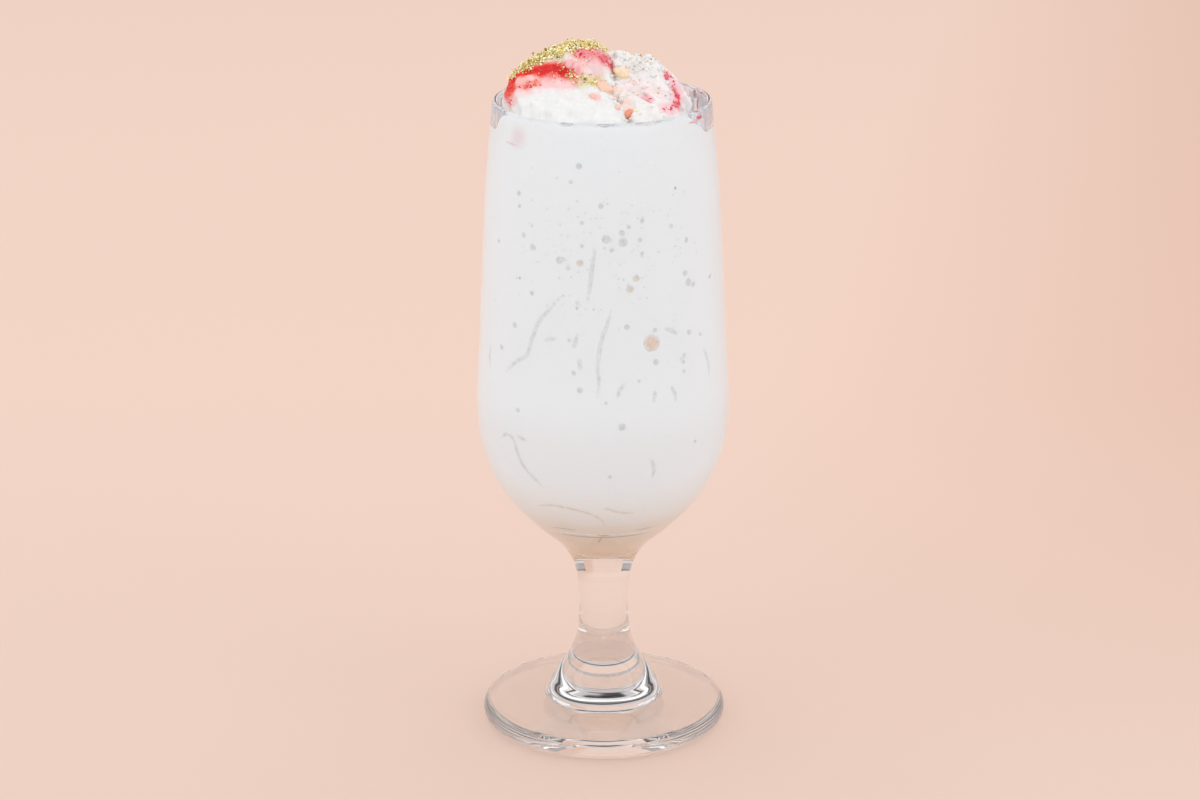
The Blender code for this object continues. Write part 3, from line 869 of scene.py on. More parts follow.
def wall_patch(turn, height, radii, proud, fray=0.0):
    """The skin of a flat lens that lies against the wall. Its rings run out to its full radii over the rear
    and back in over the front. Noise round its edge frays it, and its height picks the noise."""
    spin = turns_round(PATCH_CORNERS)
    share = PATCH_SHARE[:, None] * (1 + fray * noise(at_radius(1, spin, 40 * height / MM), 0.7, 3))
    aside, rise = radii[0] * share * np.cos(spin), radii[1] * share * np.sin(spin)
    rings = at_wall(turn + aside / wall_radius(height), height + rise, proud * PATCH_SIDE[:, None])
    return closed_skin(rings[::-1], at_wall(turn, height, -proud), at_wall(turn, height, proud))


def wall_discs(places, colour, ground):
    """Skins and colours of round bubbles flat against the wall, painted with the shade or light seen in them,
    with rims that fade into the milk.
    """
    strength = np.concatenate([np.repeat(PATCH_FADE[::-1], PATCH_CORNERS), [0, 1]])
    skins = [wall_patch(turn, height, (place[2] * MM, place[2] * MM), BUBBLE_PROUD)
             for side in all_round(places) for turn, height, place in zip(*side, places)]
    return skins, [faded(colour, ground, strength)] * len(skins)


def wall_noodles(paths, half_width, colour, ground):
    """Skins and colours of noodles pressed flat against the wall: an oval section is carried along a smooth
    path of turn and height. The edges and the ends fade into the milk."""
    spin = turns_round(NOODLE_COLUMNS)
    end = np.sin(np.linspace(0.05, math.pi - 0.05, NOODLE_ROWS))
    wide = (half_width * end**0.3)[:, None] * np.cos(spin)
    strength = (np.clip(end * 1.6, 0, 1)[:, None] * np.abs(np.sin(spin)) ** 0.7).ravel()
    skins = []
    for turn, height in [side for path in paths for side in all_round(path)]:
        line = evenly(smooth_line(np.stack([turn * BOWL_RADIUS, height], -1), 12), NOODLE_ROWS)
        line[:, 0] /= BOWL_RADIUS
        radius = wall_radius(line[:, 1])
        step = unit(np.stack([np.gradient(line[:, 0]) * radius, np.gradient(line[:, 1])], -1))
        skins.append(tube_skin(at_wall(line[:, :1] + step[:, 1:] * wide / radius[:, None],
                                       line[:, 1:] - step[:, :1] * wide, NOODLE_PROUD * np.sin(spin))))
    return skins, [faded(colour, ground, np.append(strength, [0, 0]))] * len(skins)


def lump_form(subdivisions):
    """The corners and faces of a ball of triangles."""
    bm = bmesh.new()
    bmesh.ops.create_icosphere(bm, subdivisions=subdivisions, radius=1)
    points = np.array([corner.co[:] for corner in bm.verts])
    faces = np.array([[corner.index for corner in face.verts] for face in bm.faces])
    bm.free()
    return points, faces


def scattered(form, places, normals, radii, draw, raised=0.35, jitter=0.22):
    """Copies of a form, one to a place: each is spun at random, its corners pushed about, scaled by its
    three radii, turned to lie along the surface and raised by a share of its least radius."""
    corners, faces = form
    count = len(places)
    spin = draw.normal(size=(count, 3, 3))
    spin, _ = np.linalg.qr(spin)
    spin *= np.sign(np.linalg.det(spin))[:, None, None]
    shapes = corners * (1 + jitter * draw.uniform(-1, 1, (count, len(corners), 1)))
    shapes = np.einsum("nij,nvj->nvi", spin, shapes) * radii[:, None]
    side = unit(np.cross(normals, draw.normal(size=(count, 3))))
    basis = np.stack([side, np.cross(normals, side), normals], -1)
    shapes = np.einsum("nij,nvj->nvi", basis, shapes)
    shapes += (places + normals * (radii.min(1) * raised)[:, None])[:, None]
    index = faces + (np.arange(count) * len(corners))[:, None, None]
    return shapes.reshape(-1, 3), [index.reshape(-1, 3)]


def surface_of(thing):
    """The points of a piece and the direction that each faces."""
    count = len(thing.data.vertices)
    points, normals = np.empty(count * 3), np.empty(count * 3)
    thing.data.vertices.foreach_get("co", points)
    thing.data.vertices.foreach_get("normal", normals)
    return points.reshape(-1, 3), normals.reshape(-1, 3)


def drawn_from(weights, count, draw):
    """The numbers of points drawn at random, each as likely as its weight."""
    return draw.choice(len(weights), count, p=weights / weights.sum())


def seen_on(things, pixel):
    """Where the camera ray through a pixel of the photograph first meets one of these pieces, and the way
    it faces."""
    ray = camera_rays(np.array([pixel], float))[0]
    hits = [thing.ray_cast(EYE, ray)[:3] for thing in things]
    hits = [(np.array(place), np.array(normal)) for met, place, normal in hits if met]
    if not hits:
        raise RuntimeError(f"nothing is seen at {pixel}")
    return min(hits, key=lambda hit: np.linalg.norm(hit[0] - EYE))


def mottle(tree, size, detail, stretch=1.0):
    """Noise in the object's own space with grains of a real size, drawn out upright where the stretch is
    under 1."""
    place = add_node(tree, "TexCoord").outputs["Object"]
    drawn = add_node(tree, "Mapping", {"Scale": (1, 1, stretch)}, {"Vector": place})
    return add_node(tree, "TexNoise", {"Scale": 1 / size, "Detail": detail}, {"Vector": drawn})


def clear_pressed_glass(tint):
    """Soda-lime glass, pressed in a mould and fire-polished: clear, smooth, and faintly wavy in the foot."""
    made, tree, shader = start_material("clear pressed glass", {
        "Base Color": (*tint, 1), "Roughness": 0.0, "IOR": GLASS_IOR, "Transmission Weight": 1.0})
    waves = mottle(tree, 14 * MM, 1.0)
    bump = add_node(tree, "Bump", {"Strength": 0.12, "Distance": 0.2 * MM}, {"Height": waves})
    feed(shader, {"Normal": bump})
    shadow = add_node(tree, "LightPath").outputs["Is Shadow Ray"]
    mix = add_node(tree, "MixShader", links={0: shadow, 1: shader, 2: add_node(tree, "BsdfTransparent")})
    feed(tree.nodes["Material Output"], {"Surface": mix})
    return made


def iced_milk(milk, painted_warm_light, warm_light_height):
    """Sweet milk blended with ice: opaque white with a fine froth of painted shade dots, turning beige
    towards the bottom with painted light, for the warm floor and backdrop that show through the thinner milk
    there.
    """
    made, tree, shader = start_material("iced milk", {
        "Roughness": 0.35, "IOR": 1.35, "Subsurface Weight": 0.1, "Subsurface Scale": 1.5 * MM,
        "Subsurface Radius": (1.0, 0.9, 0.8)})
    place = add_node(tree, "TexCoord").outputs["Object"]
    up = add_node(tree, "SeparateXYZ", links={0: place}).outputs["Z"]
    cloud = mottle(tree, 22 * MM, 2.0)
    height = add_node(tree, "MapRange", {1: BOWL_FLOOR_HEIGHT, 2: warm_light_height}, {0: up})
    uneven = add_node(tree, "Math", {1: 0.25, 2: -0.125}, {0: cloud}, operation="MULTIPLY_ADD")
    level = add_node(tree, "Math", links={0: height, 1: uneven}, operation="ADD")
    # Painted light: a ramp from the beige of warm light shining up through the drink's bottom to the plain
    # milk higher up
    warm_light_ramp = add_node(tree, "ValToRGB", links={0: level})
    milk, painted_warm_light = np.array(milk), np.array(painted_warm_light)
    set_ramp(warm_light_ramp, [(stop, painted_warm_light + (milk - painted_warm_light) * share)
                      for stop, share in ((0.0, 0.0), (0.3, 0.35), (0.55, 0.75), (0.9, 1.0))])
    # Painted shade: the froth's tiny bubbles show as darker dots, in patches
    froth = add_node(tree, "TexVoronoi", {"Scale": 1 / (1.3 * MM)}, {"Vector": place})
    dots = add_node(tree, "MapRange", {1: 0.16, 2: 0.3, 3: 0.055, 4: 0.0}, {0: froth})
    patches = add_node(tree, "MapRange", {1: 0.48, 2: 0.62}, {0: cloud})
    dotted = add_node(tree, "Math", links={0: dots, 1: patches}, operation="MULTIPLY")
    darker = add_node(tree, "Mix", {7: (0.3, 0.3, 0.3, 1)}, {0: dotted, 6: warm_light_ramp}, data_type="RGBA")
    gap = add_node(tree, "VectorMath", {1: PINK_PLACE}, {0: place}, operation="DISTANCE")
    pink = add_node(tree, "MapRange", {1: 1 * MM, 2: 4 * MM, 3: 0.4, 4: 0.0}, {0: gap.outputs["Value"]})
    tinted = add_node(tree, "Mix", {7: (*linear(PINK_COLOUR), 1)}, {0: pink, 6: darker.outputs[2]},
                      data_type="RGBA")
    feed(shader, {"Base Color": tinted.outputs[2]})
    return made


def rose_syrup(colour):
    """Boiled sugar syrup, dyed red: a thick wet film, darker where it is deep."""
    made, tree, shader = start_material("rose syrup", {
        "Roughness": 0.18, "IOR": 1.45, "Subsurface Weight": 0.2, "Subsurface Scale": 0.8 * MM,
        "Subsurface Radius": (1.0, 0.3, 0.25), "Coat Weight": 0.5, "Coat Roughness": 0.08})
    tone = add_node(tree, "ValToRGB", links={0: mottle(tree, 1.5 * MM, 2.0)})
    colour = np.array(colour)
    set_ramp(tone, [(0.3, colour), (0.7, np.clip(colour * 1.5 + 0.06, 0, 1))])
    feed(shader, {"Base Color": tone})
    return made


def streaked_film():
    """Milk that has run down the glass and half dried: a thin film in upright streaks, clear in between."""
    made, tree, shader = start_material("thin milk film", {
        "Base Color": (*linear("#cdcdd6"), 1), "Roughness": 0.4, "IOR": 1.35})
    streak = mottle(tree, 2.2 * MM, 3.0, stretch=0.3)
    feed(shader, {"Alpha": add_node(tree, "MapRange", {1: 0.38, 2: 0.66, 3: 0.1, 4: 0.62}, {0: streak})})
    return made


def painted_finish(name, roughness, size, values=None, spread=0.05, shades=(0.3, 0.7, 0.92, 1.06), detail=2.0,
                   stretch=1.0):
    """A finish whose colour is painted on the mesh. One mottle of a grain's size shades it and spreads its
    gloss."""
    made, tree, shader = start_material(name, {"IOR": 1.42, "Subsurface Scale": 0.8 * MM, **(values or {})})
    paint = add_node(tree, "Attribute", attribute_name="paint")
    grains = mottle(tree, size, detail, stretch)
    shade = add_node(tree, "MapRange", dict(enumerate(shades, 1)), {0: grains})
    hue = add_node(tree, "VectorMath", links={0: paint, 1: shade}, operation="MULTIPLY")
    gloss = add_node(tree, "MapRange", {1: 0.3, 2: 0.7, 3: roughness - spread, 4: roughness + spread},
                     {0: grains})
    feed(shader, {"Base Color": hue, "Roughness": gloss})
    return made


def painted_cream(name, roughness, stretch):
    """Vanilla ice cream, scooped hard and just starting to melt: soft, dense and softly lit from within."""
    values = {"IOR": 1.38, "Subsurface Weight": 0.25, "Subsurface Scale": 1.2 * MM,
              "Subsurface Radius": (1.0, 0.85, 0.75)}
    made = painted_finish(name, roughness, 0.9 * MM, values, spread=0.12, shades=(0.35, 0.7, 0.93, 1.0),
                          detail=3.0, stretch=stretch)
    tree = made.node_tree
    bump = add_node(tree, "Bump", {"Strength": 0.5, "Distance": 0.12 * MM},
                    {"Height": tree.nodes["Noise Texture"]})
    feed(tree.nodes["Principled BSDF"], {"Normal": bump})
    return made


def plain_sweep(near, far):
    """Matt seamless backdrop paper: flat, lighter near the glass and darker far back on the right, where a
    painted shade darkens and warms it.
    """
    made, tree, shader = start_material("matt backdrop paper", {"Specular IOR Level": 0.0, "Roughness": 1.0})
    place = add_node(tree, "TexCoord").outputs["Object"]
    away = add_node(tree, "SeparateXYZ", links={0: place}).outputs["Y"]
    back = add_node(tree, "MapRange", {1: -0.06, 2: 0.3}, {0: away})
    tone = add_node(tree, "Mix", {6: (*near, 1), 7: (*far, 1)}, {0: back}, data_type="RGBA")
    # Painted shade: the paper darkens and warms far back on the right
    corner = add_node(tree, "VectorMath", {1: (1, -0.2, 0)}, {0: place}, operation="DOT_PRODUCT")
    right = add_node(tree, "MapRange", {1: 0.0, 2: 0.2}, {0: corner.outputs["Value"]})
    share = add_node(tree, "Math", links={0: right, 1: back}, operation="MULTIPLY")
    shade = add_node(tree, "Mix", {6: (1, 1, 1, 1), 7: (*PAINTED_CORNER_SHADE, 1)}, {0: share}, data_type="RGBA")
    hue = add_node(tree, "VectorMath", links={0: tone.outputs[2], 1: shade.outputs[2]}, operation="MULTIPLY")
    feed(shader, {"Base Color": hue})
    return made


class FALOODA_OT_set_stage(bpy.types.Operator):
    """Lays the floor, hangs soft lights and sets up the camera"""

    bl_idname = "falooda.set_stage"
    bl_label = "Set Stage"

    def execute(self, context):
        settings = context.scene.falooda.stage
        paper = plain_sweep(settings.floor, settings.backdrop)
        radius = np.linspace(*FLOOR_RADII, 12)
        floor = np.stack([radius, 0 * radius - FLOOR_BELOW], -1)
        self.add_paper(context, "floor", floor, 0, 360, paper)
        for name, (foot, start, end) in SWEEPS.items():
            rise = arc((foot, SWEEP_BEND - FLOOR_BELOW), (SWEEP_BEND, SWEEP_BEND), -90, 0, 12)
            profile = np.vstack([rise, [[foot + SWEEP_BEND, SWEEP_HEIGHT]]])
            made = self.add_paper(context, name, profile, start, end, paper)
            made.visible_camera = name != "rear sweep"
            made.visible_glossy = made.visible_transmission = name != "front sweep"
        for name, (place, size) in SOFTBOXES.items():
            light = bpy.data.lights.new(name, "AREA")
            light.shape = "SQUARE"
            light.size = size
            light.energy = settings.key
            made = bpy.data.objects.new(name, light)
            made.location = place
            made.rotation_euler = (Vector(place) - Vector(LIGHTS_AIM)).to_track_quat("Z", "Y").to_euler()
            made.visible_glossy = False
            context.scene.collection.objects.link(made)
        self.add_room(context, settings.fill)
        self.add_camera(context)
        context.scene.view_settings.view_transform = "Standard"
        context.scene.cycles.glossy_bounces = BOUNCES_IN_GLASS
        return {"FINISHED"}

    def add_paper(self, context, name, profile, start, end, paper):
        """A profile of (radius, height), turned about Z from one angle in degrees to another."""
        points = at_radius(profile[:, :1], np.radians(np.linspace(end, start, SWEEP_STEPS)), profile[:, 1:])
        rows = len(profile)
        faces = [grid_faces(rows, SWEEP_STEPS, rows - 1, SWEEP_STEPS - 1)]
        made = bpy.data.objects.new(name, new_mesh(name, points, faces))
        made.data.materials.append(paper)
        context.scene.collection.objects.link(made)
        made.visible_diffuse = made.visible_shadow = False
        return made

    def add_room(self, context, fill):
        """The room's own light: even and white, but in the glass a pale grey room with bars that draw its
        edges."""
        world = bpy.data.worlds.new("soft room")
        world.use_nodes = True
        context.scene.world = world
        tree = world.node_tree
        place = add_node(tree, "TexCoord").outputs["Generated"]
        waves = add_node(tree, "TexNoise", {"Scale": 3.0, "Detail": 1.0}, {0: place})
        up = add_node(tree, "SeparateXYZ", links={0: place}).outputs["Z"]
        wavy = add_node(tree, "Math", {1: ROOM_WAVE}, {0: waves, 2: up}, operation="MULTIPLY_ADD")
        rise = add_node(tree, "MapRange", {1: ROOM_WAVE / 2 - 1, 2: ROOM_WAVE / 2 + 1}, {0: wavy})
        room = add_node(tree, "ValToRGB", links={0: rise})
        set_ramp(room, [(level, light * ROOM_TINT) for level, light in ROOM_BARS])
        path = add_node(tree, "LightPath").outputs
        inside = add_node(tree, "Math", links={0: path["Is Glossy Ray"], 1: path["Is Transmission Ray"]},
                          operation="MAXIMUM")
        direct = add_node(tree, "Math", {1: 0.5}, {0: path["Diffuse Depth"]}, operation="LESS_THAN")
        share = add_node(tree, "Math", links={0: inside, 1: direct}, operation="MULTIPLY")
        seen = add_node(tree, "Mix", {6: (1, 1, 1, 1)}, {0: share, 7: room}, data_type="RGBA")
        background = tree.nodes["Background"]
        background.inputs["Strength"].default_value = fill
        feed(background, {"Color": seen.outputs[2]})

    def add_camera(self, context):
        """The photograph's own view."""
        data = bpy.data.cameras.new("camera")
        data.sensor_width = SENSOR
        data.lens = FOCAL / IMAGE[0] * SENSOR
        data.shift_x = -SHIFT / IMAGE[0]
        data.clip_start = 0.01
        camera = bpy.data.objects.new("camera", data)
        camera.matrix_world = (Matrix.Translation(EYE) @ Matrix.Rotation(math.pi / 2 - PITCH, 4, "X")
                               @ Matrix.Rotation(-ROLL, 4, "Z"))
        context.scene.collection.objects.link(camera)
        context.scene.camera = camera


class FALOODA_OT_add_glass(bpy.types.Operator):
    """Turns the footed glass, with a fire-polished lip and a faintly wavy pressed foot"""

    bl_idname = "falooda.add_glass"
    bl_label = "Add Glass"

    def execute(self, context):
        settings = context.scene.falooda.glass
        lip = arc((LIP_RADIUS - LIP_THICKNESS / 2, GLASS_HEIGHT - LIP_THICKNESS / 2),
                  (LIP_THICKNESS / 2, LIP_THICKNESS / 2), 0, 180, 13)
        profile = np.vstack([foot_outline(), bowl_outline(9)[:-1], lip, hollow_outline(9)[-2:0:-1]])
        rings = turned(profile, settings.segments)
        height = rings[..., 2:]
        low = np.clip(1 - height / FLARE_HEIGHT, 0, 1) * np.clip(height / (1 * MM), 0, 1)
        wave = settings.waviness * (1 + noise(rings, FOOT_WAVE, 8)[..., None])
        rings = rings - unit(rings * [1, 1, 0]) * low * wave
        skin = closed_skin(rings, (0, 0, FOOT_DISH_DEPTH), (0, 0, BOWL_FLOOR_HEIGHT))
        piece("clear_glass_body", [skin], clear_pressed_glass(settings.tint), "clear_glass", "glass")
        return {"FINISHED"}


class FALOODA_OT_add_drink(bpy.types.Operator):
    """Fills the glass with iced milk, which clings to the wall and dips under the scoops"""

    bl_idname = "falooda.add_drink"
    bl_label = "Add Drink"

    def execute(self, context):
        settings = context.scene.falooda.drink
        turn = turns_round(DRINK_STEPS)
        start = DRINK_LEVEL - 1 * MM
        sides = hollow_outline(12)
        sides = sides[(sides[:, 1] < start - 0.5 * MM) & (sides[:, 0] > 0)]
        sides[:, 0] += INTO_WALL * np.clip(sides[:, 0] / (8 * MM), 0, 1)
        share = np.linspace(0, 1, 16)[:, None]
        height = start + share * (DRINK_LEVEL - start + climb(turn))
        thick = CLING_THICKNESS * np.clip((1 - share) * 12, 0.3, 1) + CLING_FOOT * (1 - share) ** 2
        outer, inner = at_wall(turn, height, 0), at_wall(turn, height, -thick)
        edge = wall_radius(DRINK_LEVEL) + INTO_WALL - CLING_THICKNESS - CLING_FOOT
        top = at_radius(edge * np.linspace(0.995, 0.01, 80)[:, None], turn, DRINK_LEVEL)
        top[..., 2] = self.surface(top)
        rings = np.concatenate([turned(sides, DRINK_STEPS), outer, inner[:0:-1], top])
        skin = closed_skin(rings, (0, 0, BOWL_FLOOR_HEIGHT - INTO_WALL), top[-1].mean(0))
        piece("iced_milk_body", [skin], iced_milk(settings.milk, settings.painted_warm_light, settings.warm_light_height),
              "iced_milk", "milk_drink")
        self.add_film(turn)
        return {"FINISHED"}

    def add_film(self, turn):
        """A ring of milk, thinner than a hair, that lies on the whole wall from the drink up to the lip."""
        top = FILM_TOP + FILM_WAVE * noise(at_radius(1, turn, 0), 0.2, 6)
        height = DRINK_LEVEL + np.linspace(0, 1, 12)[:, None] * (top - DRINK_LEVEL)
        outer = at_radius(wall_radius(height) + FILM_INTO_WALL, turn, height)
        inner = at_radius(wall_radius(height) + FILM_INTO_WALL - FILM_THICKNESS, turn, height)
        rings = np.concatenate([outer, inner[::-1]])
        rows = len(rings)
        faces = grid_faces(rows, DRINK_STEPS, rows, DRINK_STEPS)
        piece("milk_film", [(rings.reshape(-1, 3), [faces])], streaked_film(), "iced_milk")

    def surface(self, places):
        """The drink's height in plan: level, a little uneven, and dipping under each scoop to just inside its
        lower side."""
        level = DRINK_LEVEL - 0.2 * MM + 0.12 * MM * noise(places, 5 * MM, 4)
        for scoop in (LEFT_SCOOP, RIGHT_SCOOP):
            start = places * [1, 1, 0] + [0, 0, DRINK_LEVEL + 1 * MM]
            down = np.broadcast_to([0, 0, -1.0], places.shape)
            foot = along_rays(start, down, lambda points: scoop_depth(points, scoop), RAY_REACH)[..., 2]
            level = np.minimum(level, foot + INTO_SCOOP)
        return level


class FALOODA_OT_add_ice_cream(bpy.types.Operator):
    """Heaps two scoops of vanilla ice cream over the drink, stained by syrup and pistachio"""

    bl_idname = "falooda.add_ice_cream"
    bl_label = "Add Ice Cream"

    def execute(self, context):
        cream = context.scene.falooda.cream
        build_scoop("ice_cream_left_body", LEFT_SCOOP, cream.white, LEFT_STAINS,
                    painted_cream("vanilla ice cream, smooth", 0.45, 0.35), "ice_cream_left")
        rough = painted_cream("vanilla ice cream, rough", 0.5, 1.0)
        build_scoop("ice_cream_right_body", RIGHT_SCOOP, cream.warm_white, RIGHT_STAINS, rough,
                    "ice_cream_right")
        self.add_flakes(rough, cream.warm_white)
        return {"FINISHED"}

    def add_flakes(self, finish, ground):
        """Flakes of hard cream that broke off under the scoop. They lie thickest along the seam, and each
        has the colour of the cream under it."""
        draw = np.random.default_rng(55)
        form = lump_form(2)
        skins, paints = [], []
        for side, scoop, stains in (("left", LEFT_SCOOP, LEFT_STAINS), ("right", RIGHT_SCOOP, RIGHT_STAINS)):
            points, normals = surface_of(bpy.data.objects[f"ice_cream_{side}_body"])
            seam = np.exp((room_at_seam(points, scoop) / FLAKE_REACH).clip(-20, 0))
            weights = (points[:, 2] > FLAKES_ABOVE) * (seam ** 1.5 + FLAKES_ELSEWHERE[side])
            chosen = drawn_from(weights, FLAKES, draw)
            radii = FLAKE_RADIUS * draw.uniform(0.4, 1, (FLAKES, 1)) ** 1.6
            radii = radii * draw.uniform(0.5, 1, (FLAKES, 3))
            skins.append(scattered(form, points[chosen], normals[chosen], radii, draw, -0.1, 0.12))
            paints.append(stained(skins[-1][0], ground, stains))
        piece("cream_flakes", skins, finish, "ice_cream", paints=paints)


class FALOODA_OT_add_syrup(bpy.types.Operator):
    """Runs wet rose syrup over the scoops, strews flecks of it and smears a little on the wall"""

    bl_idname = "falooda.add_syrup"
    bl_label = "Add Syrup"

    def execute(self, context):
        cream = context.scene.falooda.cream
        skins = [tube_skin(ribbon_on(RIGHT_SCOOP, path, half_width, thickness, 60 + number))
                 for number, (path, half_width, thickness) in enumerate(SYRUP_RUNS)]
        draw = np.random.default_rng(12)
        form = lump_form(1)
        for scoop, path, stray, count, largest in SYRUP_FLECKS:
            points, normals = surface_of(bpy.data.objects[f"ice_cream_{scoop}_body"])
            chosen = drawn_from(nearness(points, path, stray * MM) ** 2, count, draw)
            radii = largest * MM * draw.uniform(0.25, 1, (count, 1)) ** 1.4
            radii = radii * draw.uniform([0.7, 0.6, 0.35], 1, (count, 3))
            skins.append(scattered(form, points[chosen], normals[chosen], radii, draw, raised=0.1))
        piece("rose_syrup_flecks", skins, rose_syrup(cream.syrup), "rose_syrup")
        skins, paints = [], []
        for turn, height, wide, high, colour in WALL_SMEARS:
            radii = (wide * MM, high * MM)
            skins.append(wall_patch(math.radians(turn - 90), height * MM, radii, SMEAR_PROUD, fray=0.45))
            paints.append(np.broadcast_to(linear(colour), skins[-1][0].shape))
        # Syrup thinned by milk: pale, wet and half clear
        finish = painted_finish("rose syrup, thin", 0.25, 0.6 * MM, {"Subsurface Weight": 0.3})
        piece("syrup_smears", skins, finish, "rose_syrup", paints=paints)
        return {"FINISHED"}


class FALOODA_OT_add_pistachio(bpy.types.Operator):
    """Strews crushed pistachio along the left scoop's crest and down its front"""

    bl_idname = "falooda.add_pistachio"
    bl_label = "Add Pistachio"

    def execute(self, context):
        settings = context.scene.falooda.topping
        draw = np.random.default_rng(21)
        points, normals = surface_of(bpy.data.objects["ice_cream_left_body"])
        heap = nearness(points, CREST, CREST_REACH)
        weights = heap ** 1.1 + FRONT_CRUMBS * nearness(points, FRONT, FRONT_REACH)
        weights += TOP_CRUMBS * (points[:, 2] > CRUMBS_ABOVE)
        chosen = drawn_from(weights, settings.crumbs, draw)
        size = settings.crumb_radius * draw.uniform(0.28, 1, settings.crumbs) ** 1.5
        radii = size[:, None] * draw.uniform(0.55, 1, (settings.crumbs, 3))
        proud = np.abs(draw.normal(0, CRUMB_HEAP, settings.crumbs)) * heap[chosen]
        places = points[chosen] + proud[:, None] * normals[chosen]
        places += draw.normal(0, CRUMB_STRAY, (settings.crumbs, 3))
        form = lump_form(1)
        skin = scattered(form, places, normals[chosen], radii, draw, raised=0.7)
        hues = np.array([settings.kernel, settings.pale, settings.green, settings.skin])
        paint = hues[draw.choice(len(hues), settings.crumbs, p=CRUMB_SHARES)]
        # Crushed nut: dry and matt, with fresh breaks that are paler than the skin
        finish = painted_finish("crushed pistachio", 0.6, 0.5 * MM)
        piece("pistachio_crumbs", [skin], finish, "pistachio", paints=[np.repeat(paint, len(form[0]), 0)])
        return {"FINISHED"}


class FALOODA_OT_add_fruit(bpy.types.Operator):
    """Sets bits of candied fruit and fine specks on the scoops"""

    bl_idname = "falooda.add_fruit"
    bl_label = "Add Fruit"

    def execute(self, context):
        draw = np.random.default_rng(33)
        form = lump_form(3)
        skins, paints = [], []
        scoops = [bpy.data.objects[name] for name in ("ice_cream_left_body", "ice_cream_right_body")]
        for pixel, radii, colour in FRUIT_BITS:
            place, normal = seen_on(scoops, pixel)
            shape, faces = scattered(form, place[None], normal[None], np.array([radii]) * MM, draw, -0.2, 0)
            ragged = lumpy(shape, FRUIT_LUMPS, 7)
            skins.append((place + (shape - place) * (1 + ragged[:, None]), faces))
            paints.append(np.broadcast_to(linear(colour), shape.shape))
        # Fruit boiled in sugar: soft, moist and lit from within
        finish = painted_finish("candied fruit", 0.3, 0.8 * MM, {"Subsurface Weight": 0.35})
        piece("fruit_bits", skins, finish, "candied_fruit", paints=paints)
        self.add_specks(context.scene.falooda.topping.specks, draw)
        return {"FINISHED"}

    def add_specks(self, count, draw):
        """Fine beige and brown specks on the right scoop, as many at the back as in front."""
        points, normals = surface_of(bpy.data.objects["ice_cream_right_body"])
        form = lump_form(1)
        hues = np.array([linear(colour) for colour in SPECK_COLOURS])
        middle = np.exp(-(points[:, 0] - SPECKS_ACROSS) ** 2 / SPECKS_SPREAD ** 2)
        front = points[:, 1] < SPECKS_FRONT
        skins, paints = [], []
        for side in (front, ~front):
            chosen = drawn_from((points[:, 2] > SPECKS_ABOVE) * side * middle, count, draw)
            radii = draw.uniform(*SPECK_RADII, (count, 1)) * MM * draw.uniform(0.6, 1, (count, 3))
            skins.append(scattered(form, points[chosen], normals[chosen], radii, draw, raised=0.4))
            paint = hues[draw.choice(len(hues), count, p=list(SPECK_COLOURS.values()))]
            paints.append(np.repeat(paint, len(form[0]), 0))
        # Ground nut and spice: dry and matt
        finish = painted_finish("ground nut and spice", 0.6, 0.4 * MM)
        piece("fine_specks", skins, finish, "pistachio", paints=paints)


class FALOODA_OT_add_bubbles(bpy.types.Operator):
    """Presses bubbles against the inside of the wall"""

    bl_idname = "falooda.add_bubbles"
    bl_label = "Add Bubbles"

    def execute(self, context):
        settings = context.scene.falooda.drink
        draw = np.random.default_rng(44)
        spread = np.clip(draw.normal(0, 1, (FINE_BUBBLES, 2)) * FINE_SPREAD + FINE_MIDDLE, *FINE_BOX)
        fine = [(*place, radius) for place, radius in zip(spread, draw.uniform(*FINE_RADII, FINE_BUBBLES))]
        skins, paints = [], []
        # Fine bubbles: a fainter painted shade, halfway between the milk and the bubbles' grey
        faint = (np.array(settings.milk) + np.array(settings.bubble)) / 2
        for places, colour in ((CLEAR_BUBBLES, settings.bubble), (fine, faint),
                               (BEIGE_BUBBLES, settings.beige_bubble), (DARK_BUBBLES, settings.dark_bubble),
                               (LARGE_BUBBLE, settings.large_bubble)):
            made, painted = wall_discs(places, colour, settings.milk)
            skins += made
            paints += painted
        # Air under the glass: what shows is the wet milk behind it, painted greyer as a painted shade; the
        # beige and large bubbles are painted light from the warm backdrop seen through them
        finish = painted_finish("bubbles in milk", 0.3, 1.0 * MM)
        piece("wall_bubbles", skins, finish, "iced_milk", paints=paints)
        return {"FINISHED"}


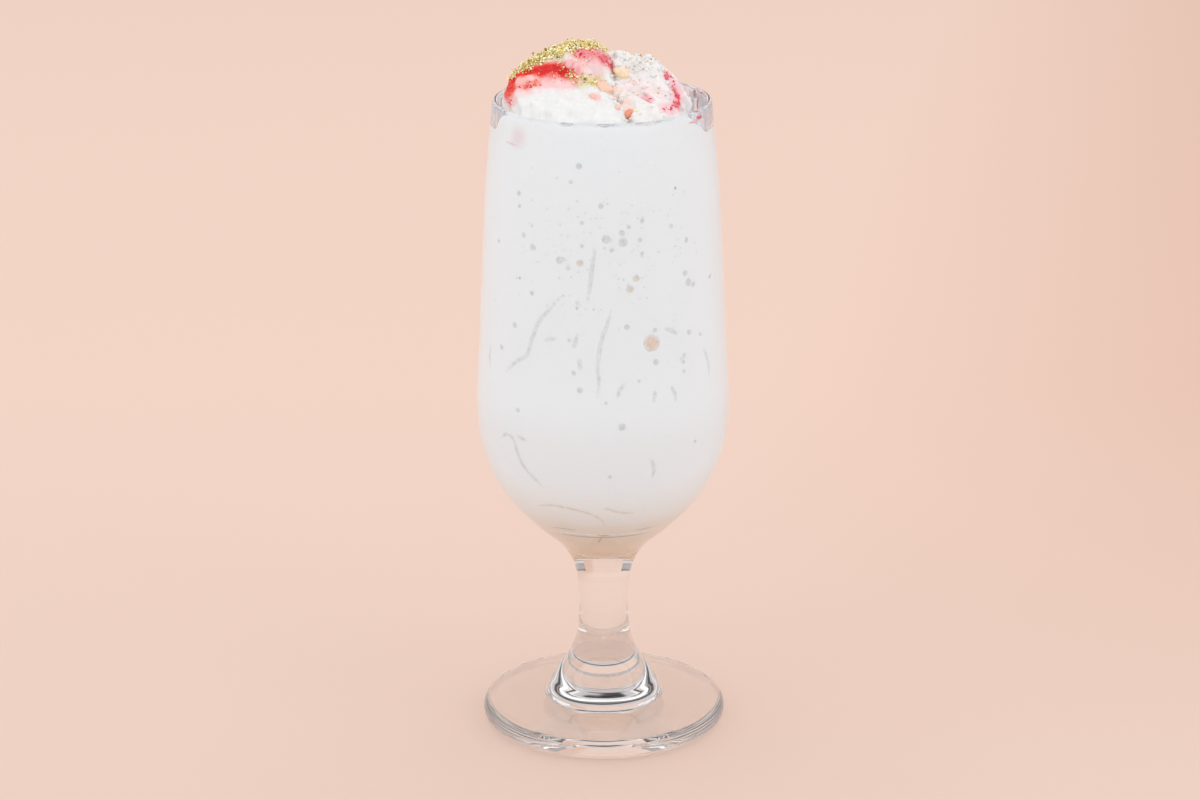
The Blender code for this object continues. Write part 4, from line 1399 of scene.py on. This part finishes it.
class FALOODA_OT_add_noodles(bpy.types.Operator):
    """Lays starch noodles against the inside of the wall"""

    bl_idname = "falooda.add_noodles"
    bl_label = "Add Noodles"

    def execute(self, context):
        settings = context.scene.falooda.drink
        skins, paints = [], []
        # The ground that the deep noodles and the foot's lines fade into: mostly milk, with some of the
        # painted warm light of the drink's bottom
        low = np.array(settings.milk) * 0.7 + np.array(settings.painted_warm_light) * 0.3
        kinds = [(NOODLES, settings.noodle_width / 2, settings.noodle, settings.milk),
                 (DEEP_NOODLES, settings.noodle_width / 3, settings.deep_noodle, low)]
        # The painted highlight line and painted shade lines at the glass's foot, and the golden bit, laid
        # like noodles
        kinds += [([line], width * MM, linear(colour), low) for line, width, colour in GLINT_AND_SHADE_LINES_WITH_GOLD_BIT]
        for paths, half_width, colour, ground in kinds:
            made, painted = wall_noodles(paths, half_width, colour, ground)
            skins += made
            paints += painted
        # Wet starch: smooth and half clear, so that it shows as a faint line in the milk
        finish = painted_finish("wet starch noodle", 0.3, 1.2 * MM)
        piece("starch_noodles", skins, finish, "noodles", paints=paints)
        return {"FINISHED"}


class FALOODA_PT_pieces(bpy.types.Panel):
    """Lists what the glass of falooda is made of"""

    bl_label = "Falooda"
    bl_idname = "FALOODA_PT_pieces"
    bl_space_type = "VIEW_3D"
    bl_region_type = "UI"
    bl_category = "Falooda"

    def draw(self, context):
        for operator in OPERATORS:
            self.layout.operator(operator.bl_idname)
        for group in ("glass", "drink", "cream", "topping", "stage"):
            settings = getattr(context.scene.falooda, group)
            box = self.layout.box()
            for name in settings.__annotations__:
                box.prop(settings, name)


GROUPS = [GlassSettings, DrinkSettings, CreamSettings, ToppingSettings, StageSettings, FaloodaSettings]
OPERATORS = [FALOODA_OT_set_stage, FALOODA_OT_add_glass, FALOODA_OT_add_drink, FALOODA_OT_add_ice_cream,
             FALOODA_OT_add_syrup, FALOODA_OT_add_pistachio, FALOODA_OT_add_fruit, FALOODA_OT_add_bubbles,
             FALOODA_OT_add_noodles]


def register():
    for each in [*GROUPS, *OPERATORS, FALOODA_PT_pieces]:
        bpy.utils.register_class(each)
    bpy.types.Scene.falooda = PointerProperty(type=FaloodaSettings, name="Falooda")


def unregister():
    del bpy.types.Scene.falooda
    for each in reversed([*GROUPS, *OPERATORS, FALOODA_PT_pieces]):
        bpy.utils.unregister_class(each)


def main():
    """Builds every piece in order."""
    register()
    for operator in OPERATORS:
        group, name = operator.bl_idname.split(".")
        getattr(getattr(bpy.ops, group), name)()


if __name__ == "__main__":
    main()
